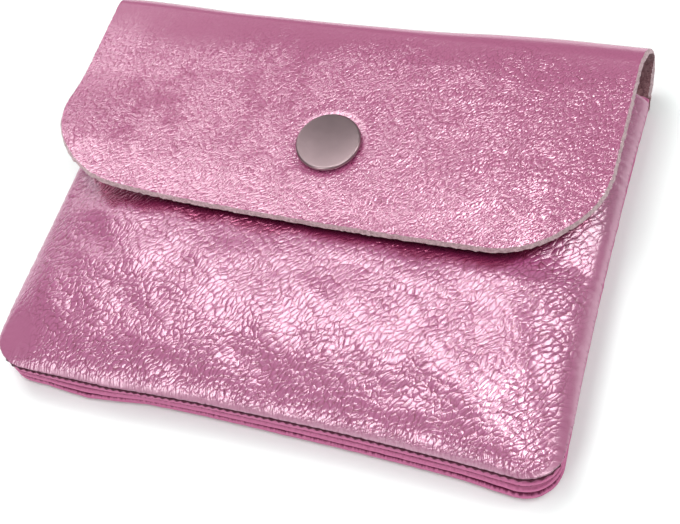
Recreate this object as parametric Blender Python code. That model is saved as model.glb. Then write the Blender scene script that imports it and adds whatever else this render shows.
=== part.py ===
# Flap wallet in soft leather, lying on its back: three pockets, a zip on the middle one, a snap on the flap.
# Metres, +Z up. X runs along the bottom seam, Y from the bottom seam to the fold, Z is the thickness.
# The empty named wallet sits on the table under the bottom seam, and every piece is placed from it.

import math

import bmesh
import bpy
from mathutils import Matrix, Vector

# Body, as cut and sewn
BODY_WIDTH = 0.1300
BODY_HEIGHT = 0.1059
SIDE_DRAW_IN = 0.0007
BOTTOM_DRAW_IN = 0.0014
CORNER_RADIUS = 0.0085
LEATHER = 0.0010
SEAT_GAP = 0.0003
TURNED_EDGE = 0.0045
BACK_CROWN = 0.0005
CROWN_REACH = 0.0190
CROWN_POWER = 2.2
CROWN_FULLNESS = 0.8

# Pockets, empty height between the leathers
REAR_POCKET = 0.0046
ZIP_POCKET = 0.0041
FRONT_POCKET = 0.0041

# Pocket mouths: the rear one past the fold's start, the others below it
REAR_MOUTH_PAST_FOLD = 0.0009
FRONT_MOUTH_DROP = 0.0040
ZIP_MOUTH_DROP = 0.0160
ZIP_CUT_CLEARANCE = 0.0040
ZIP_CUT_BLEND = 0.0040

# Fold and flap
FOLD_RADIUS = 0.0089
FOLD_STRIPS = 4
FOLD_RUN_IN = 0.0120
FOLD_LEFT = 0.0666
FOLD_RIGHT = 0.0646
FLAP_LEFT = 0.0676
FLAP_RIGHT = 0.0629
FLAP_REACH = 0.0522
FLAP_LEFT_CORNER = 0.0190
FLAP_RIGHT_CORNER = 0.0230
FLAP_EDGE_BOW = 0.0018
FLAP_DROP = 0.0002
FLAP_LEFT_LIFT = 0.0028
FLAP_LIFT_START = 0.0300
FLAP_LIFT_FROM_FOLD = 0.0200
FLAP_LIFT_RISE = 0.0220

# Snap
SNAP_FROM_EDGE = 0.0200
CAP_RADIUS = 0.0075
CAP_HEIGHT = 0.0013
CAP_DOME = 0.0004
CAP_SHELL = 0.0005
RIVET_RADIUS = 0.0015
RIVET_CLEARANCE = 0.0004
SOCKET_RADIUS = 0.0058
SOCKET_HEIGHT = 0.0020
SOCKET_PLATE = 0.0004
SOCKET_MOUTH_RADIUS = 0.0037
SPRING_GROOVE_RADIUS = 0.0043
SPRING_WIRE = 0.0004
SPRING_GAP_ANGLE = 24.0
STUD_RADIUS = 0.0032
STUD_NECK_RADIUS = 0.0027
STUD_FLANGE_RADIUS = 0.0055
STUD_FLANGE = 0.0005
POST_FLANGE_RADIUS = 0.0050
POST_FLANGE = 0.0004
DENT_FLAT_RADIUS = 0.0095
DENT_BLEND = 0.0090

# Zip
CHAIN_FROM_MOUTH = 0.0070
CHAIN_CLEARANCE = 0.0021
CHAIN_HALF_LENGTH = 0.0440
TOOTH_PITCH = 0.0022
TOOTH_WIDTH = 0.0007
TOOTH_OVERLAP = 0.0004
TOOTH_HEIGHT = 0.0016
CHAIN_HALF_WIDTH = 0.0016
CORD_WIDTH = 0.0007
CORD_HEIGHT = 0.0009
TAPE = 0.0005
TAPE_UNDERLAP = 0.0060
TAPE_FLAT = 0.0032
TAPE_EXTRA = 0.0020
TAPE_FROM_MOUTH = 0.0010
SLIDER_LENGTH = 0.0080
SLIDER_FRONT_HALF = 0.0030
SLIDER_REAR_HALF = 0.0025
SLIDER_PLATE = 0.0007
SLIDER_CLEARANCE = 0.0003
SLIDER_FROM_END = 0.0050
WEDGE_LENGTH = 0.0026
WEDGE_HALF = 0.0005
BAIL_REACH = 0.0017
BAIL_WIRE = 0.0008
BAIL_RISE_SHARE = 0.75
PULL_LENGTH = 0.0090
PULL_WIDTH = 0.0038
PULL_THICKNESS = 0.0008
PULL_EYE_RADIUS = 0.0011
STOP_LENGTH = 0.0016

# Threads
SEAM_THREAD = 0.0005
SEAM_THREAD_INSET = 0.0002
STITCH_THREAD = 0.0005
STITCH_LENGTH = 0.0035
STITCH_FROM_EDGE = 0.0020

# Mesh fineness, in counts
PANEL_COLUMNS = 12
PANEL_SIDE_ROWS = 7
FRONT_COLUMNS = 22
FRONT_SIDE_ROWS = 13
CORNER_ROWS = 3
NOSE_STEPS = 4
FLAP_COLUMNS = 16
FLAP_ROWS = 9
FLAP_CORNER_ROWS = 5
FOLD_ARC_STEPS = 4
ROUND_STEPS = 28

# Worked out from the sizes above
BEAD = 2.0 * LEATHER
BEAD_STEP = BEAD + SEAT_GAP
FOLD_LINE = BODY_HEIGHT - FOLD_RADIUS
REAR_MOUTH = FOLD_LINE + REAR_MOUTH_PAST_FOLD
FRONT_MOUTH = REAR_MOUTH - FRONT_MOUTH_DROP
ZIP_MOUTH = REAR_MOUTH - ZIP_MOUTH_DROP
ZIP_CUT_HALF = CHAIN_HALF_LENGTH + TAPE_EXTRA + ZIP_CUT_CLEARANCE
FOLD_CENTRE_Z = BACK_CROWN + FOLD_RADIUS
FOLD_INNER_RADIUS = FOLD_RADIUS - LEATHER
FLAP_UNDER = FOLD_CENTRE_Z + FOLD_INNER_RADIUS
REAR_UNDER = LEATHER + REAR_POCKET
INNER_UNDER = REAR_UNDER + LEATHER + ZIP_POCKET
FRONT_UNDER = INNER_UNDER + LEATHER + FRONT_POCKET
SNAP_Y = FOLD_LINE - FLAP_REACH + SNAP_FROM_EDGE
CHAIN_Y = ZIP_MOUTH + CHAIN_FROM_MOUTH
CHAIN_Z = REAR_UNDER + LEATHER + CHAIN_CLEARANCE
SLIDER_X = CHAIN_HALF_LENGTH - SLIDER_FROM_END

COLOURS = {
    "foil leather": ((0.53, 0.20, 0.34, 1.0), 0.38, 0.75),
    "fold leather": ((0.47, 0.17, 0.30, 1.0), 0.42, 0.70),
    "satin nickel": ((0.52, 0.46, 0.47, 1.0), 0.30, 1.00),
    "spring steel": ((0.55, 0.55, 0.57, 1.0), 0.25, 1.00),
    "zip tape": ((0.30, 0.10, 0.18, 1.0), 0.90, 0.00),
    "thread": ((0.22, 0.05, 0.11, 1.0), 0.80, 0.00),
}


def clear_scene():
    for item in list(bpy.data.objects):
        bpy.data.objects.remove(item, do_unlink=True)


def finish_of(node, finish):
    """A material of the node's own, in one of the finishes."""
    colour, roughness, metallic = COLOURS[finish]
    material = bpy.data.materials.new(node + "_finish")
    material.use_nodes = True
    shader = material.node_tree.nodes["Principled BSDF"]
    shader.inputs["Base Color"].default_value = colour
    shader.inputs["Roughness"].default_value = roughness
    shader.inputs["Metallic"].default_value = metallic
    return material


def add_mesh(node, bm, finish, origin=(0.0, 0.0, 0.0)):
    """An object from a bmesh in wallet coordinates, with its origin at the point given."""
    bmesh.ops.recalc_face_normals(bm, faces=bm.faces)
    bmesh.ops.translate(bm, verts=bm.verts, vec=-Vector(origin))
    mesh = bpy.data.meshes.new(node)
    bm.to_mesh(mesh)
    bm.free()
    mesh.shade_smooth()
    mesh.set_sharp_from_angle(angle=math.radians(40.0))
    mesh.materials.append(finish_of(node, finish))
    item = bpy.data.objects.new(node, mesh)
    bpy.context.scene.collection.objects.link(item)
    item.parent = WALLET
    item.location = origin
    return item


def add_cutter(bm, name):
    """A guide solid, left out of the finished wallet."""
    bmesh.ops.recalc_face_normals(bm, faces=bm.faces)
    mesh = bpy.data.meshes.new(name)
    bm.to_mesh(mesh)
    bm.free()
    item = bpy.data.objects.new(name, mesh)
    bpy.context.scene.collection.objects.link(item)
    item.parent = WALLET
    item.hide_render = True
    item.display_type = "WIRE"
    return item


def combine(item, other, operation):
    boolean = item.modifiers.new(other.name, "BOOLEAN")
    boolean.operation = operation
    boolean.object = other


def smooth_step(value):
    value = min(max(value, 0.0), 1.0)
    return value * value * (3.0 - 2.0 * value)


# Outline of the body

def half_width(y):
    share = (y - CORNER_RADIUS) / (REAR_MOUTH - CORNER_RADIUS)
    share = min(max(share, 0.0), 1.0)
    return BODY_WIDTH / 2.0 - SIDE_DRAW_IN * math.sin(math.pi * share)


def draw_up(x, y):
    """The bottom seam is drawn up a little between its corners."""
    middle_share = 1.0 - (2.0 * x / BODY_WIDTH) ** 2
    return y + BOTTOM_DRAW_IN * middle_share * (1.0 - y / BODY_HEIGHT)


def outline_point(across, row, inset, mouth_of, side_rows):
    """Point of the body's outline drawn in by inset: across runs -1 to 1, the first rows round the corners."""
    if row <= CORNER_ROWS:
        turn = math.pi / 2.0 * row / CORNER_ROWS
        radius = CORNER_RADIUS - inset
        half = BODY_WIDTH / 2.0 - CORNER_RADIUS + radius * math.sin(turn)
        x = across * half
        y = CORNER_RADIUS - radius * math.cos(turn)
        return x, draw_up(x, y)
    share = ((row - CORNER_ROWS) / side_rows) ** 1.25
    mouth = mouth_of(across * (BODY_WIDTH / 2.0 - inset))
    y = CORNER_RADIUS + (mouth - CORNER_RADIUS) * share
    x = across * (half_width(y) - inset)
    lifted = draw_up(x, y)
    return x, lifted + (y - lifted) * share


def crown(depth):
    """Steep at the edge, level where the pockets are fully open."""
    share = min(max((depth - LEATHER) / CROWN_REACH, 0.0), 1.0)
    return (1.0 - (1.0 - share) ** CROWN_POWER) ** CROWN_FULLNESS


def pillow(x, y):
    """0 at the turned edges, 1 where the pockets are fully open."""
    return crown(half_width(y) - abs(x)) * crown(y)


def snap_dent(x, y):
    """How far the snap presses the front leather in."""
    away = math.hypot(x, y - SNAP_Y) - DENT_FLAT_RADIUS
    return SNAP_DENT * (1.0 - smooth_step(away / DENT_BLEND))


# Underside of each leather

def back_under(x, y):
    run_in = smooth_step((y - FOLD_LINE + FOLD_RUN_IN) / FOLD_RUN_IN)
    return BACK_CROWN * max(1.0 - pillow(x, y), run_in)


def sheet_under(level, top_height, x, y):
    edge = BACK_CROWN + level * BEAD_STEP + BEAD - LEATHER
    return edge + (top_height - edge) * pillow(x, y)


def rear_under(x, y):
    return sheet_under(1, REAR_UNDER, x, y)


def inner_under(x, y):
    return sheet_under(2, INNER_UNDER, x, y)


def front_under(x, y):
    return sheet_under(3, FRONT_UNDER, x, y) - snap_dent(x, y)


def flap_under(x, y):
    along = (FOLD_LINE - y) / FLAP_REACH
    side = smooth_step((-x - FLAP_LIFT_START) / (FLAP_LEFT - FLAP_LIFT_START))
    rise = smooth_step((FOLD_LINE - y - FLAP_LIFT_FROM_FOLD) / FLAP_LIFT_RISE)
    lift = FLAP_LEFT_LIFT * side * rise
    return FLAP_UNDER - FLAP_DROP * along + lift


SNAP_UNDER = FLAP_UNDER - FLAP_DROP * (FLAP_REACH - SNAP_FROM_EDGE) / FLAP_REACH
SOCKET_TOP = SNAP_UNDER - SEAT_GAP
SOCKET_FOOT = SOCKET_TOP - SOCKET_HEIGHT
STUD_FLANGE_FOOT = SOCKET_FOOT - SEAT_GAP - STUD_FLANGE
SNAP_DENT = FRONT_UNDER + LEATHER + SEAT_GAP - STUD_FLANGE_FOOT


# Leather panels

def edge_profile(sheet_on_top):
    """Turned edge from one skin to the other as (inset, height): the leather rolls round its seam allowance."""
    nose = [
        (LEATHER - LEATHER * math.sin(math.pi * k / NOSE_STEPS),
         LEATHER + LEATHER * math.cos(math.pi * k / NOSE_STEPS))
        for k in range(NOSE_STEPS + 1)
    ]
    half_way = (LEATHER + TURNED_EDGE) / 2.0
    over = [(TURNED_EDGE, BEAD), (half_way, BEAD)]
    beneath = [(half_way, 0.0), (TURNED_EDGE, 0.0)]
    if sheet_on_top:
        return over + nose + beneath + [(TURNED_EDGE, LEATHER)]
    return [(TURNED_EDGE, LEATHER)] + over + nose + beneath


def column_shares(count):
    """Closer together towards the sides."""
    even = [2.0 * i / count - 1.0 for i in range(count + 1)]
    return [0.5 * t + 0.5 * math.sin(math.pi / 2.0 * t) for t in even]


def border_path(columns, rows):
    left = [(0, j) for j in range(rows, -1, -1)]
    foot = [(i, 0) for i in range(1, columns)]
    right = [(columns, j) for j in range(rows + 1)]
    return left + foot + right


def build_panel(node, level, under, mouth_of, sheet_on_top=True, columns=PANEL_COLUMNS, side_rows=PANEL_SIDE_ROWS):
    """A leather panel with turned edges on three sides and a cut edge at its mouth."""
    bm = bmesh.new()
    rows = CORNER_ROWS + side_rows
    shares = column_shares(columns)
    foot = BACK_CROWN + level * BEAD_STEP
    sheet = LEATHER if sheet_on_top else 0.0
    profile = edge_profile(sheet_on_top)
    path = border_path(columns, rows)
    skins = []
    for thickness in (LEATHER, 0.0):
        grid = {}
        for j in range(rows + 1):
            for i in range(columns + 1):
                x, y = outline_point(shares[i], j, TURNED_EDGE, mouth_of, side_rows)
                grid[i, j] = bm.verts.new((x, y, under(x, y) + thickness))
        skins.append(grid)
        for j in range(rows):
            for i in range(columns):
                bm.faces.new((grid[i, j], grid[i + 1, j], grid[i + 1, j + 1], grid[i, j + 1]))
    over, beneath = skins
    rings = [[over[key] for key in path]]
    for inset, height in profile[1:-1]:
        ring = []
        for i, j in path:
            x, y = outline_point(shares[i], j, inset, mouth_of, side_rows)
            rise = under(x, y) - sheet if inset > LEATHER else foot
            ring.append(bm.verts.new((x, y, rise + height)))
        rings.append(ring)
    rings.append([beneath[key] for key in path])
    for ring, following in zip(rings, rings[1:]):
        for k in range(len(path) - 1):
            bm.faces.new((ring[k], ring[k + 1], following[k + 1], following[k]))
    for i in range(columns):
        bm.faces.new((over[i, rows], over[i + 1, rows], beneath[i + 1, rows], beneath[i, rows]))
    bm.faces.new([ring[0] for ring in rings])
    bm.faces.new([ring[-1] for ring in rings])
    return add_mesh(node, bm, "foil leather")


def build_plate(node, point_of, columns, rows, finish, origin=(0.0, 0.0, 0.0)):
    """A sheet between two skins: point_of(i, j, skin) gives each corner."""
    bm = bmesh.new()
    skins = []
    for skin in range(2):
        grid = {}
        for j in range(rows + 1):
            for i in range(columns + 1):
                grid[i, j] = bm.verts.new(point_of(i, j, skin))
        skins.append(grid)
        for j in range(rows):
            for i in range(columns):
                bm.faces.new((grid[i, j], grid[i + 1, j], grid[i + 1, j + 1], grid[i, j + 1]))
    over, beneath = skins
    rim = [(i, 0) for i in range(columns)] + [(columns, j) for j in range(rows)]
    rim += [(i, rows) for i in range(columns, 0, -1)] + [(0, j) for j in range(rows, 0, -1)]
    for k, key in enumerate(rim):
        other = rim[(k + 1) % len(rim)]
        bm.faces.new((over[key], over[other], beneath[other], beneath[key]))
    return add_mesh(node, bm, finish, origin)


def build_body():
    def back_end(x):
        return FOLD_LINE - SEAT_GAP / 2.0

    def rear_mouth(x):
        return REAR_MOUTH

    def front_mouth(x):
        return FRONT_MOUTH

    def zip_mouth(x):
        beside = smooth_step((abs(x) - ZIP_CUT_HALF) / ZIP_CUT_BLEND)
        return ZIP_MOUTH + (FRONT_MOUTH - ZIP_MOUTH) * beside

    build_panel("back_panel", 0, back_under, back_end, sheet_on_top=False)
    build_panel("inner_panel_rear", 1, rear_under, rear_mouth)
    build_panel("inner_panel_front", 2, inner_under, zip_mouth, columns=FRONT_COLUMNS)
    front = build_panel(
        "front_panel", 3, front_under, front_mouth, columns=FRONT_COLUMNS, side_rows=FRONT_SIDE_ROWS
    )
    combine(front, snap_hole("front_snap_hole", STUD_FLANGE_FOOT), "DIFFERENCE")


# Fold and flap

def fold_point(turn, radius):
    return FOLD_LINE + radius * math.sin(turn), FOLD_CENTRE_Z - radius * math.cos(turn)


def build_fold():
    """Strips of the leather loop, each free to turn on the crease line at its outer face."""
    strip_turn = math.pi / FOLD_STRIPS
    end_turn = SEAT_GAP / 2.0 / FOLD_RADIUS
    for number in range(FOLD_STRIPS):
        start = number * strip_turn + end_turn
        step = (strip_turn - 2.0 * end_turn) / FOLD_ARC_STEPS

        def point_of(i, j, skin):
            turn = start + j * step
            share = turn / math.pi
            left = -FOLD_LEFT - (FLAP_LEFT - FOLD_LEFT) * share
            right = FOLD_RIGHT + (FLAP_RIGHT - FOLD_RIGHT) * share
            y, z = fold_point(turn, FOLD_RADIUS if skin == 0 else FOLD_INNER_RADIUS)
            return (right if i else left, y, z)

        y, z = fold_point(number * strip_turn, FOLD_RADIUS)
        build_plate(
            "fold_strip_" + str(number + 1), point_of, 1, FOLD_ARC_STEPS, "fold leather", (0.0, y, z)
        )


def flap_outline(across, row):
    """The first rows run round the lower corners, the others up to the fold."""
    centre = (FLAP_RIGHT - FLAP_LEFT) / 2.0
    half = (FLAP_RIGHT + FLAP_LEFT) / 2.0
    top = FOLD_LINE - SEAT_GAP / 2.0
    edge = FOLD_LINE - FLAP_REACH
    corner = FLAP_LEFT_CORNER + (FLAP_RIGHT_CORNER - FLAP_LEFT_CORNER) * (across + 1.0) / 2.0
    if row <= FLAP_CORNER_ROWS:
        turn = math.pi / 2.0 * row / FLAP_CORNER_ROWS
        x = centre + across * (half - corner + corner * math.sin(turn))
        y = edge + corner - corner * math.cos(turn)
    else:
        share = (row - FLAP_CORNER_ROWS) / (FLAP_ROWS - FLAP_CORNER_ROWS)
        x = centre + across * half
        y = edge + corner + (top - edge - corner) * share
    bow = FLAP_EDGE_BOW * across * across
    return x, y + bow * (top - y) / FLAP_REACH


def build_flap():
    shares = column_shares(FLAP_COLUMNS)

    def point_of(i, j, skin):
        x, y = flap_outline(shares[i], j)
        return (x, y, flap_under(x, y) + (LEATHER if skin == 0 else 0.0))

    y, z = fold_point(math.pi, FOLD_RADIUS)
    flap = build_plate("flap", point_of, FLAP_COLUMNS, FLAP_ROWS, "foil leather", (0.0, y, z))
    combine(flap, snap_hole("flap_snap_hole", SOCKET_TOP), "DIFFERENCE")


# Turned metal

def turn_profile(profile, angle=2.0 * math.pi, steps=ROUND_STEPS, closed=True):
    """A closed profile of (radius, height) spun round the snap's axis."""
    bm = bmesh.new()
    verts = [bm.verts.new((radius, 0.0, z)) for radius, z in profile]
    edges = [bm.edges.new((a, b)) for a, b in zip(verts, verts[1:])]
    if closed:
        edges.append(bm.edges.new((verts[-1], verts[0])))
    bmesh.ops.spin(
        bm, geom=verts + edges, cent=(0.0, 0.0, 0.0), axis=(0.0, 0.0, 1.0), dvec=(0.0, 0.0, 0.0),
        angle=angle, steps=steps, use_duplicate=False
    )
    bmesh.ops.remove_doubles(bm, verts=bm.verts, dist=SEAT_GAP / 100.0)
    return bm


def at_snap(bm):
    bmesh.ops.translate(bm, verts=bm.verts, vec=(0.0, SNAP_Y, 0.0))
    return bm


def snap_hole(name, foot):
    """Cutter for the rivet's hole through the leather above or below."""
    radius = RIVET_RADIUS + RIVET_CLEARANCE
    reach = 2.0 * LEATHER
    bm = bmesh.new()
    bmesh.ops.create_cone(
        bm, cap_ends=True, segments=ROUND_STEPS // 2, radius1=radius, radius2=radius, depth=2.0 * reach
    )
    bmesh.ops.translate(bm, verts=bm.verts, vec=(0.0, SNAP_Y, foot))
    return add_cutter(bm, name)


def build_cap():
    """Domed cap with a rolled rim, on a rivet that goes through the flap."""
    foot = SNAP_UNDER + LEATHER + SEAT_GAP
    edge = CAP_HEIGHT - CAP_DOME
    roll = edge / 2.0
    rim = [
        (CAP_RADIUS - roll + roll * math.cos(turn), foot + roll + roll * math.sin(turn))
        for turn in [math.pi * (k / 6.0 - 0.5) for k in range(7)]
    ]
    dome = [(CAP_RADIUS * share, foot + edge + CAP_DOME * (1.0 - share * share)) for share in (0.6, 0.3)]
    rivet_foot = SOCKET_TOP - SOCKET_PLATE
    inside = [
        (0.0, foot + CAP_HEIGHT),
        (0.0, rivet_foot),
        (RIVET_RADIUS, rivet_foot),
        (RIVET_RADIUS, foot + CAP_SHELL),
        (CAP_RADIUS - 2.0 * roll, foot + CAP_SHELL),
        (CAP_RADIUS - 2.0 * roll, foot),
    ]
    bm = turn_profile(rim + dome + inside)
    add_mesh("snap_cap", at_snap(bm), "satin nickel", (0.0, SNAP_Y, foot))


def build_socket():
    hole = RIVET_RADIUS + RIVET_CLEARANCE
    groove_foot = SOCKET_FOOT + SPRING_WIRE
    groove_top = groove_foot + SPRING_WIRE + SEAT_GAP * 2.0
    chamfer = SOCKET_PLATE / 2.0
    profile = [
        (SOCKET_RADIUS, SOCKET_FOOT + chamfer),
        (SOCKET_RADIUS, SOCKET_TOP - chamfer),
        (SOCKET_RADIUS - chamfer, SOCKET_TOP),
        (hole, SOCKET_TOP),
        (hole, SOCKET_TOP - SOCKET_PLATE),
        (SOCKET_MOUTH_RADIUS, SOCKET_TOP - SOCKET_PLATE),
        (SOCKET_MOUTH_RADIUS, groove_top),
        (SPRING_GROOVE_RADIUS, groove_top),
        (SPRING_GROOVE_RADIUS, groove_foot),
        (SOCKET_MOUTH_RADIUS, groove_foot),
        (SOCKET_MOUTH_RADIUS, SOCKET_FOOT + chamfer),
        (SOCKET_MOUTH_RADIUS + chamfer, SOCKET_FOOT),
        (SOCKET_RADIUS - chamfer, SOCKET_FOOT),
    ]
    add_mesh("snap_socket", at_snap(turn_profile(profile)), "satin nickel", (0.0, SNAP_Y, SOCKET_TOP))


def build_spring():
    """Split ring of wire that grips the stud below its head."""
    middle_z = SOCKET_FOOT + SPRING_WIRE + SEAT_GAP + SPRING_WIRE / 2.0
    outer = SPRING_GROOVE_RADIUS - SEAT_GAP
    middle = outer - SPRING_WIRE / 2.0
    profile = [
        (middle + SPRING_WIRE / 2.0 * math.cos(turn), middle_z + SPRING_WIRE / 2.0 * math.sin(turn))
        for turn in [math.pi / 3.0 * k for k in range(6)]
    ]
    gap = math.radians(SPRING_GAP_ANGLE)
    bm = turn_profile(profile, angle=2.0 * math.pi - gap, steps=ROUND_STEPS - 4)
    bmesh.ops.holes_fill(bm, edges=bm.edges, sides=len(profile))
    add_mesh("snap_ring_spring", at_snap(bm), "spring steel", (0.0, SNAP_Y, middle_z))


def build_stud():
    foot = STUD_FLANGE_FOOT
    flange_top = foot + STUD_FLANGE
    head_top = SOCKET_TOP - SOCKET_PLATE - SEAT_GAP
    head_foot = SOCKET_FOOT + SPRING_WIRE * 2.0 + SEAT_GAP
    bore = RIVET_RADIUS + RIVET_CLEARANCE
    shell = STUD_FLANGE / 2.0
    profile = [
        (STUD_FLANGE_RADIUS, foot),
        (STUD_FLANGE_RADIUS, flange_top - shell),
        (STUD_FLANGE_RADIUS - shell, flange_top),
        (STUD_NECK_RADIUS, flange_top),
        (STUD_NECK_RADIUS, (flange_top + head_foot) / 2.0),
        (STUD_RADIUS, head_foot),
        (STUD_RADIUS - shell / 2.0, head_top - shell),
        (STUD_NECK_RADIUS, head_top),
        (0.0, head_top),
        (0.0, head_top - shell),
        (bore, head_top - shell),
        (bore, foot),
    ]
    add_mesh("snap_stud", at_snap(turn_profile(profile)), "satin nickel", (0.0, SNAP_Y, foot))


def build_post():
    """Rivet from inside the front pocket into the stud."""
    top = SOCKET_TOP - SOCKET_PLATE - 2.0 * SEAT_GAP - STUD_FLANGE / 2.0
    flange_top = STUD_FLANGE_FOOT - 2.0 * SEAT_GAP - LEATHER
    foot = flange_top - POST_FLANGE
    chamfer = POST_FLANGE / 2.0
    profile = [
        (0.0, foot),
        (POST_FLANGE_RADIUS - chamfer, foot),
        (POST_FLANGE_RADIUS, foot + chamfer),
        (POST_FLANGE_RADIUS, flange_top),
        (RIVET_RADIUS, flange_top),
        (RIVET_RADIUS, top),
        (0.0, top),
    ]
    add_mesh("snap_stud_post", at_snap(turn_profile(profile)), "satin nickel", (0.0, SNAP_Y, foot))


def build_snap():
    build_cap()
    build_socket()
    build_spring()
    build_stud()
    build_post()


# Zip

def block(bm, low, high):
    """A box between two corners, added to a bmesh."""
    size = [b - a for a, b in zip(low, high)]
    middle = [(a + b) / 2.0 for a, b in zip(low, high)]
    matrix = Matrix.Translation(middle) @ Matrix.Diagonal((*size, 1.0))
    bmesh.ops.create_cube(bm, size=1.0, matrix=matrix)
    return bm


def build_tapes():
    """Woven strips: one sewn under the front inner panel, one on the rear inner panel."""
    half = CHAIN_HALF_LENGTH + TAPE_EXTRA
    columns = PANEL_COLUMNS
    seat = SEAT_GAP + TAPE / 2.0
    inner_y = CHAIN_HALF_WIDTH + SEAT_GAP

    def upper_line(x):
        lap_end = ZIP_MOUTH - TAPE_UNDERLAP
        lap_z = inner_under(x, lap_end) - seat
        mouth_z = inner_under(x, ZIP_MOUTH) - seat
        return [(lap_end, lap_z), (ZIP_MOUTH, mouth_z), (CHAIN_Y - TAPE_FLAT, CHAIN_Z), (CHAIN_Y - inner_y, CHAIN_Z)]

    def lower_line(x):
        edge = REAR_MOUTH - TAPE_FROM_MOUTH
        knee = (CHAIN_Y + TAPE_FLAT + edge) / 2.0
        low_z = rear_under(x, edge) + LEATHER + seat
        return [(CHAIN_Y + inner_y, CHAIN_Z), (CHAIN_Y + TAPE_FLAT, CHAIN_Z), (knee, low_z), (edge, low_z)]

    for node, line_of in (("zip_tape_upper", upper_line), ("zip_tape_lower", lower_line)):

        def point_of(i, j, skin):
            x = half * (2.0 * i / columns - 1.0)
            y, z = line_of(x)[j]
            return (x, y, z + (TAPE / 2.0 if skin == 0 else -TAPE / 2.0))

        build_plate(node, point_of, columns, 3, "zip tape")


def build_teeth():
    """Each row is a cord with teeth on its inner face: the two rows stand half a pitch apart and interlock."""
    cord_inner = CHAIN_HALF_WIDTH - CORD_WIDTH
    last_tooth = SLIDER_X + SLIDER_LENGTH / 2.0 - WEDGE_LENGTH - SEAT_GAP
    cord_end = CHAIN_HALF_LENGTH - SEAT_GAP
    for node, side in (("zip_teeth_upper", -1.0), ("zip_teeth_lower", 1.0)):
        offset = 0.0 if side < 0.0 else TOOTH_PITCH / 2.0
        starts = []
        x = -CHAIN_HALF_LENGTH + TOOTH_PITCH / 2.0 + offset
        while x + TOOTH_WIDTH <= last_tooth:
            starts.append(x)
            x += TOOTH_PITCH
        stations = [-CHAIN_HALF_LENGTH]
        for x in starts:
            stations += [x, x + TOOTH_WIDTH]
        stations.append(cord_end)
        bm = bmesh.new()
        corners = [
            (cord_inner, -CORD_HEIGHT / 2.0),
            (CHAIN_HALF_WIDTH, -CORD_HEIGHT / 2.0),
            (CHAIN_HALF_WIDTH, CORD_HEIGHT / 2.0),
            (cord_inner, CORD_HEIGHT / 2.0),
        ]
        rings = [
            [bm.verts.new((x, CHAIN_Y + side * u, CHAIN_Z + w)) for u, w in corners] for x in stations
        ]
        teeth = {"inner": [], "over": [], "under": []}
        for k in range(len(rings) - 1):
            a, b = rings[k], rings[k + 1]
            faces = [bm.faces.new((a[m], a[(m + 1) % 4], b[(m + 1) % 4], b[m])) for m in range(4)]
            if k % 2 == 1:
                teeth["under"].append(faces[0])
                teeth["over"].append(faces[2])
                teeth["inner"].append(faces[3])
        bm.faces.new(rings[0])
        bm.faces.new(rings[-1])
        bmesh.ops.recalc_face_normals(bm, faces=bm.faces)
        proud = (TOOTH_HEIGHT - CORD_HEIGHT) / 2.0
        moves = {
            "inner": (0.0, -side * (cord_inner + TOOTH_OVERLAP), 0.0),
            "over": (0.0, 0.0, proud),
            "under": (0.0, 0.0, -proud),
        }
        for key, faces in teeth.items():
            grown = bmesh.ops.extrude_discrete_faces(bm, faces=faces)["faces"]
            verts = {vert for face in grown for vert in face.verts}
            bmesh.ops.translate(bm, verts=list(verts), vec=moves[key])
        add_mesh(node, bm, "satin nickel")


def slider_plate(bm, low_z, high_z):
    """Plate of the slider, wider at the end where the rows part."""
    front = SLIDER_LENGTH / 2.0
    neck = SLIDER_LENGTH / 8.0
    outline = [
        (-front, -SLIDER_REAR_HALF),
        (-neck, -SLIDER_REAR_HALF),
        (neck, -SLIDER_FRONT_HALF),
        (front - neck, -SLIDER_FRONT_HALF),
        (front, -SLIDER_FRONT_HALF + neck),
    ]
    outline += [(x, -y) for x, y in reversed(outline)]
    face = bm.faces.new([bm.verts.new((SLIDER_X + x, CHAIN_Y + y, low_z)) for x, y in outline])
    grown = bmesh.ops.extrude_face_region(bm, geom=[face])["geom"]
    verts = [item for item in grown if isinstance(item, bmesh.types.BMVert)]
    bmesh.ops.translate(bm, verts=verts, vec=(0.0, 0.0, high_z - low_z))
    return bm


def build_slider():
    """Two plates joined by the wedge between the rows, with lips over the tapes and a bail on top."""
    inner = TOOTH_HEIGHT / 2.0 + SLIDER_CLEARANCE
    outer = inner + SLIDER_PLATE
    lip_z = TAPE / 2.0 + SLIDER_CLEARANCE
    sink = SLIDER_PLATE / 2.0
    base = (SLIDER_X - BAIL_REACH, CHAIN_Y, CHAIN_Z)
    top = add_mesh(
        "zip_slider", slider_plate(bmesh.new(), CHAIN_Z + inner, CHAIN_Z + outer), "satin nickel", base
    )
    parts = [slider_plate(bmesh.new(), CHAIN_Z - outer, CHAIN_Z - inner)]
    front = SLIDER_X + SLIDER_LENGTH / 2.0
    wedge = block(
        bmesh.new(),
        (front - WEDGE_LENGTH, CHAIN_Y - WEDGE_HALF, CHAIN_Z - inner - sink),
        (front - SEAT_GAP, CHAIN_Y + WEDGE_HALF, CHAIN_Z + inner + sink),
    )
    parts.append(wedge)
    lip_foot = CHAIN_HALF_WIDTH + SLIDER_CLEARANCE
    for side in (-1.0, 1.0):
        for up in (-1.0, 1.0):
            ys = sorted((CHAIN_Y + side * lip_foot, CHAIN_Y + side * SLIDER_REAR_HALF))
            zs = sorted((CHAIN_Z + up * lip_z, CHAIN_Z + up * (inner + sink)))
            low = (SLIDER_X - SLIDER_LENGTH / 2.0 + sink, ys[0], zs[0])
            high = (SLIDER_X + SLIDER_LENGTH / 4.0, ys[1], zs[1])
            parts.append(block(bmesh.new(), low, high))
    parts.append(build_bail(CHAIN_Z + outer - sink))
    for number, bm in enumerate(parts):
        combine(top, add_cutter(bm, "slider_part_" + str(number + 1)), "UNION")


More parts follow.
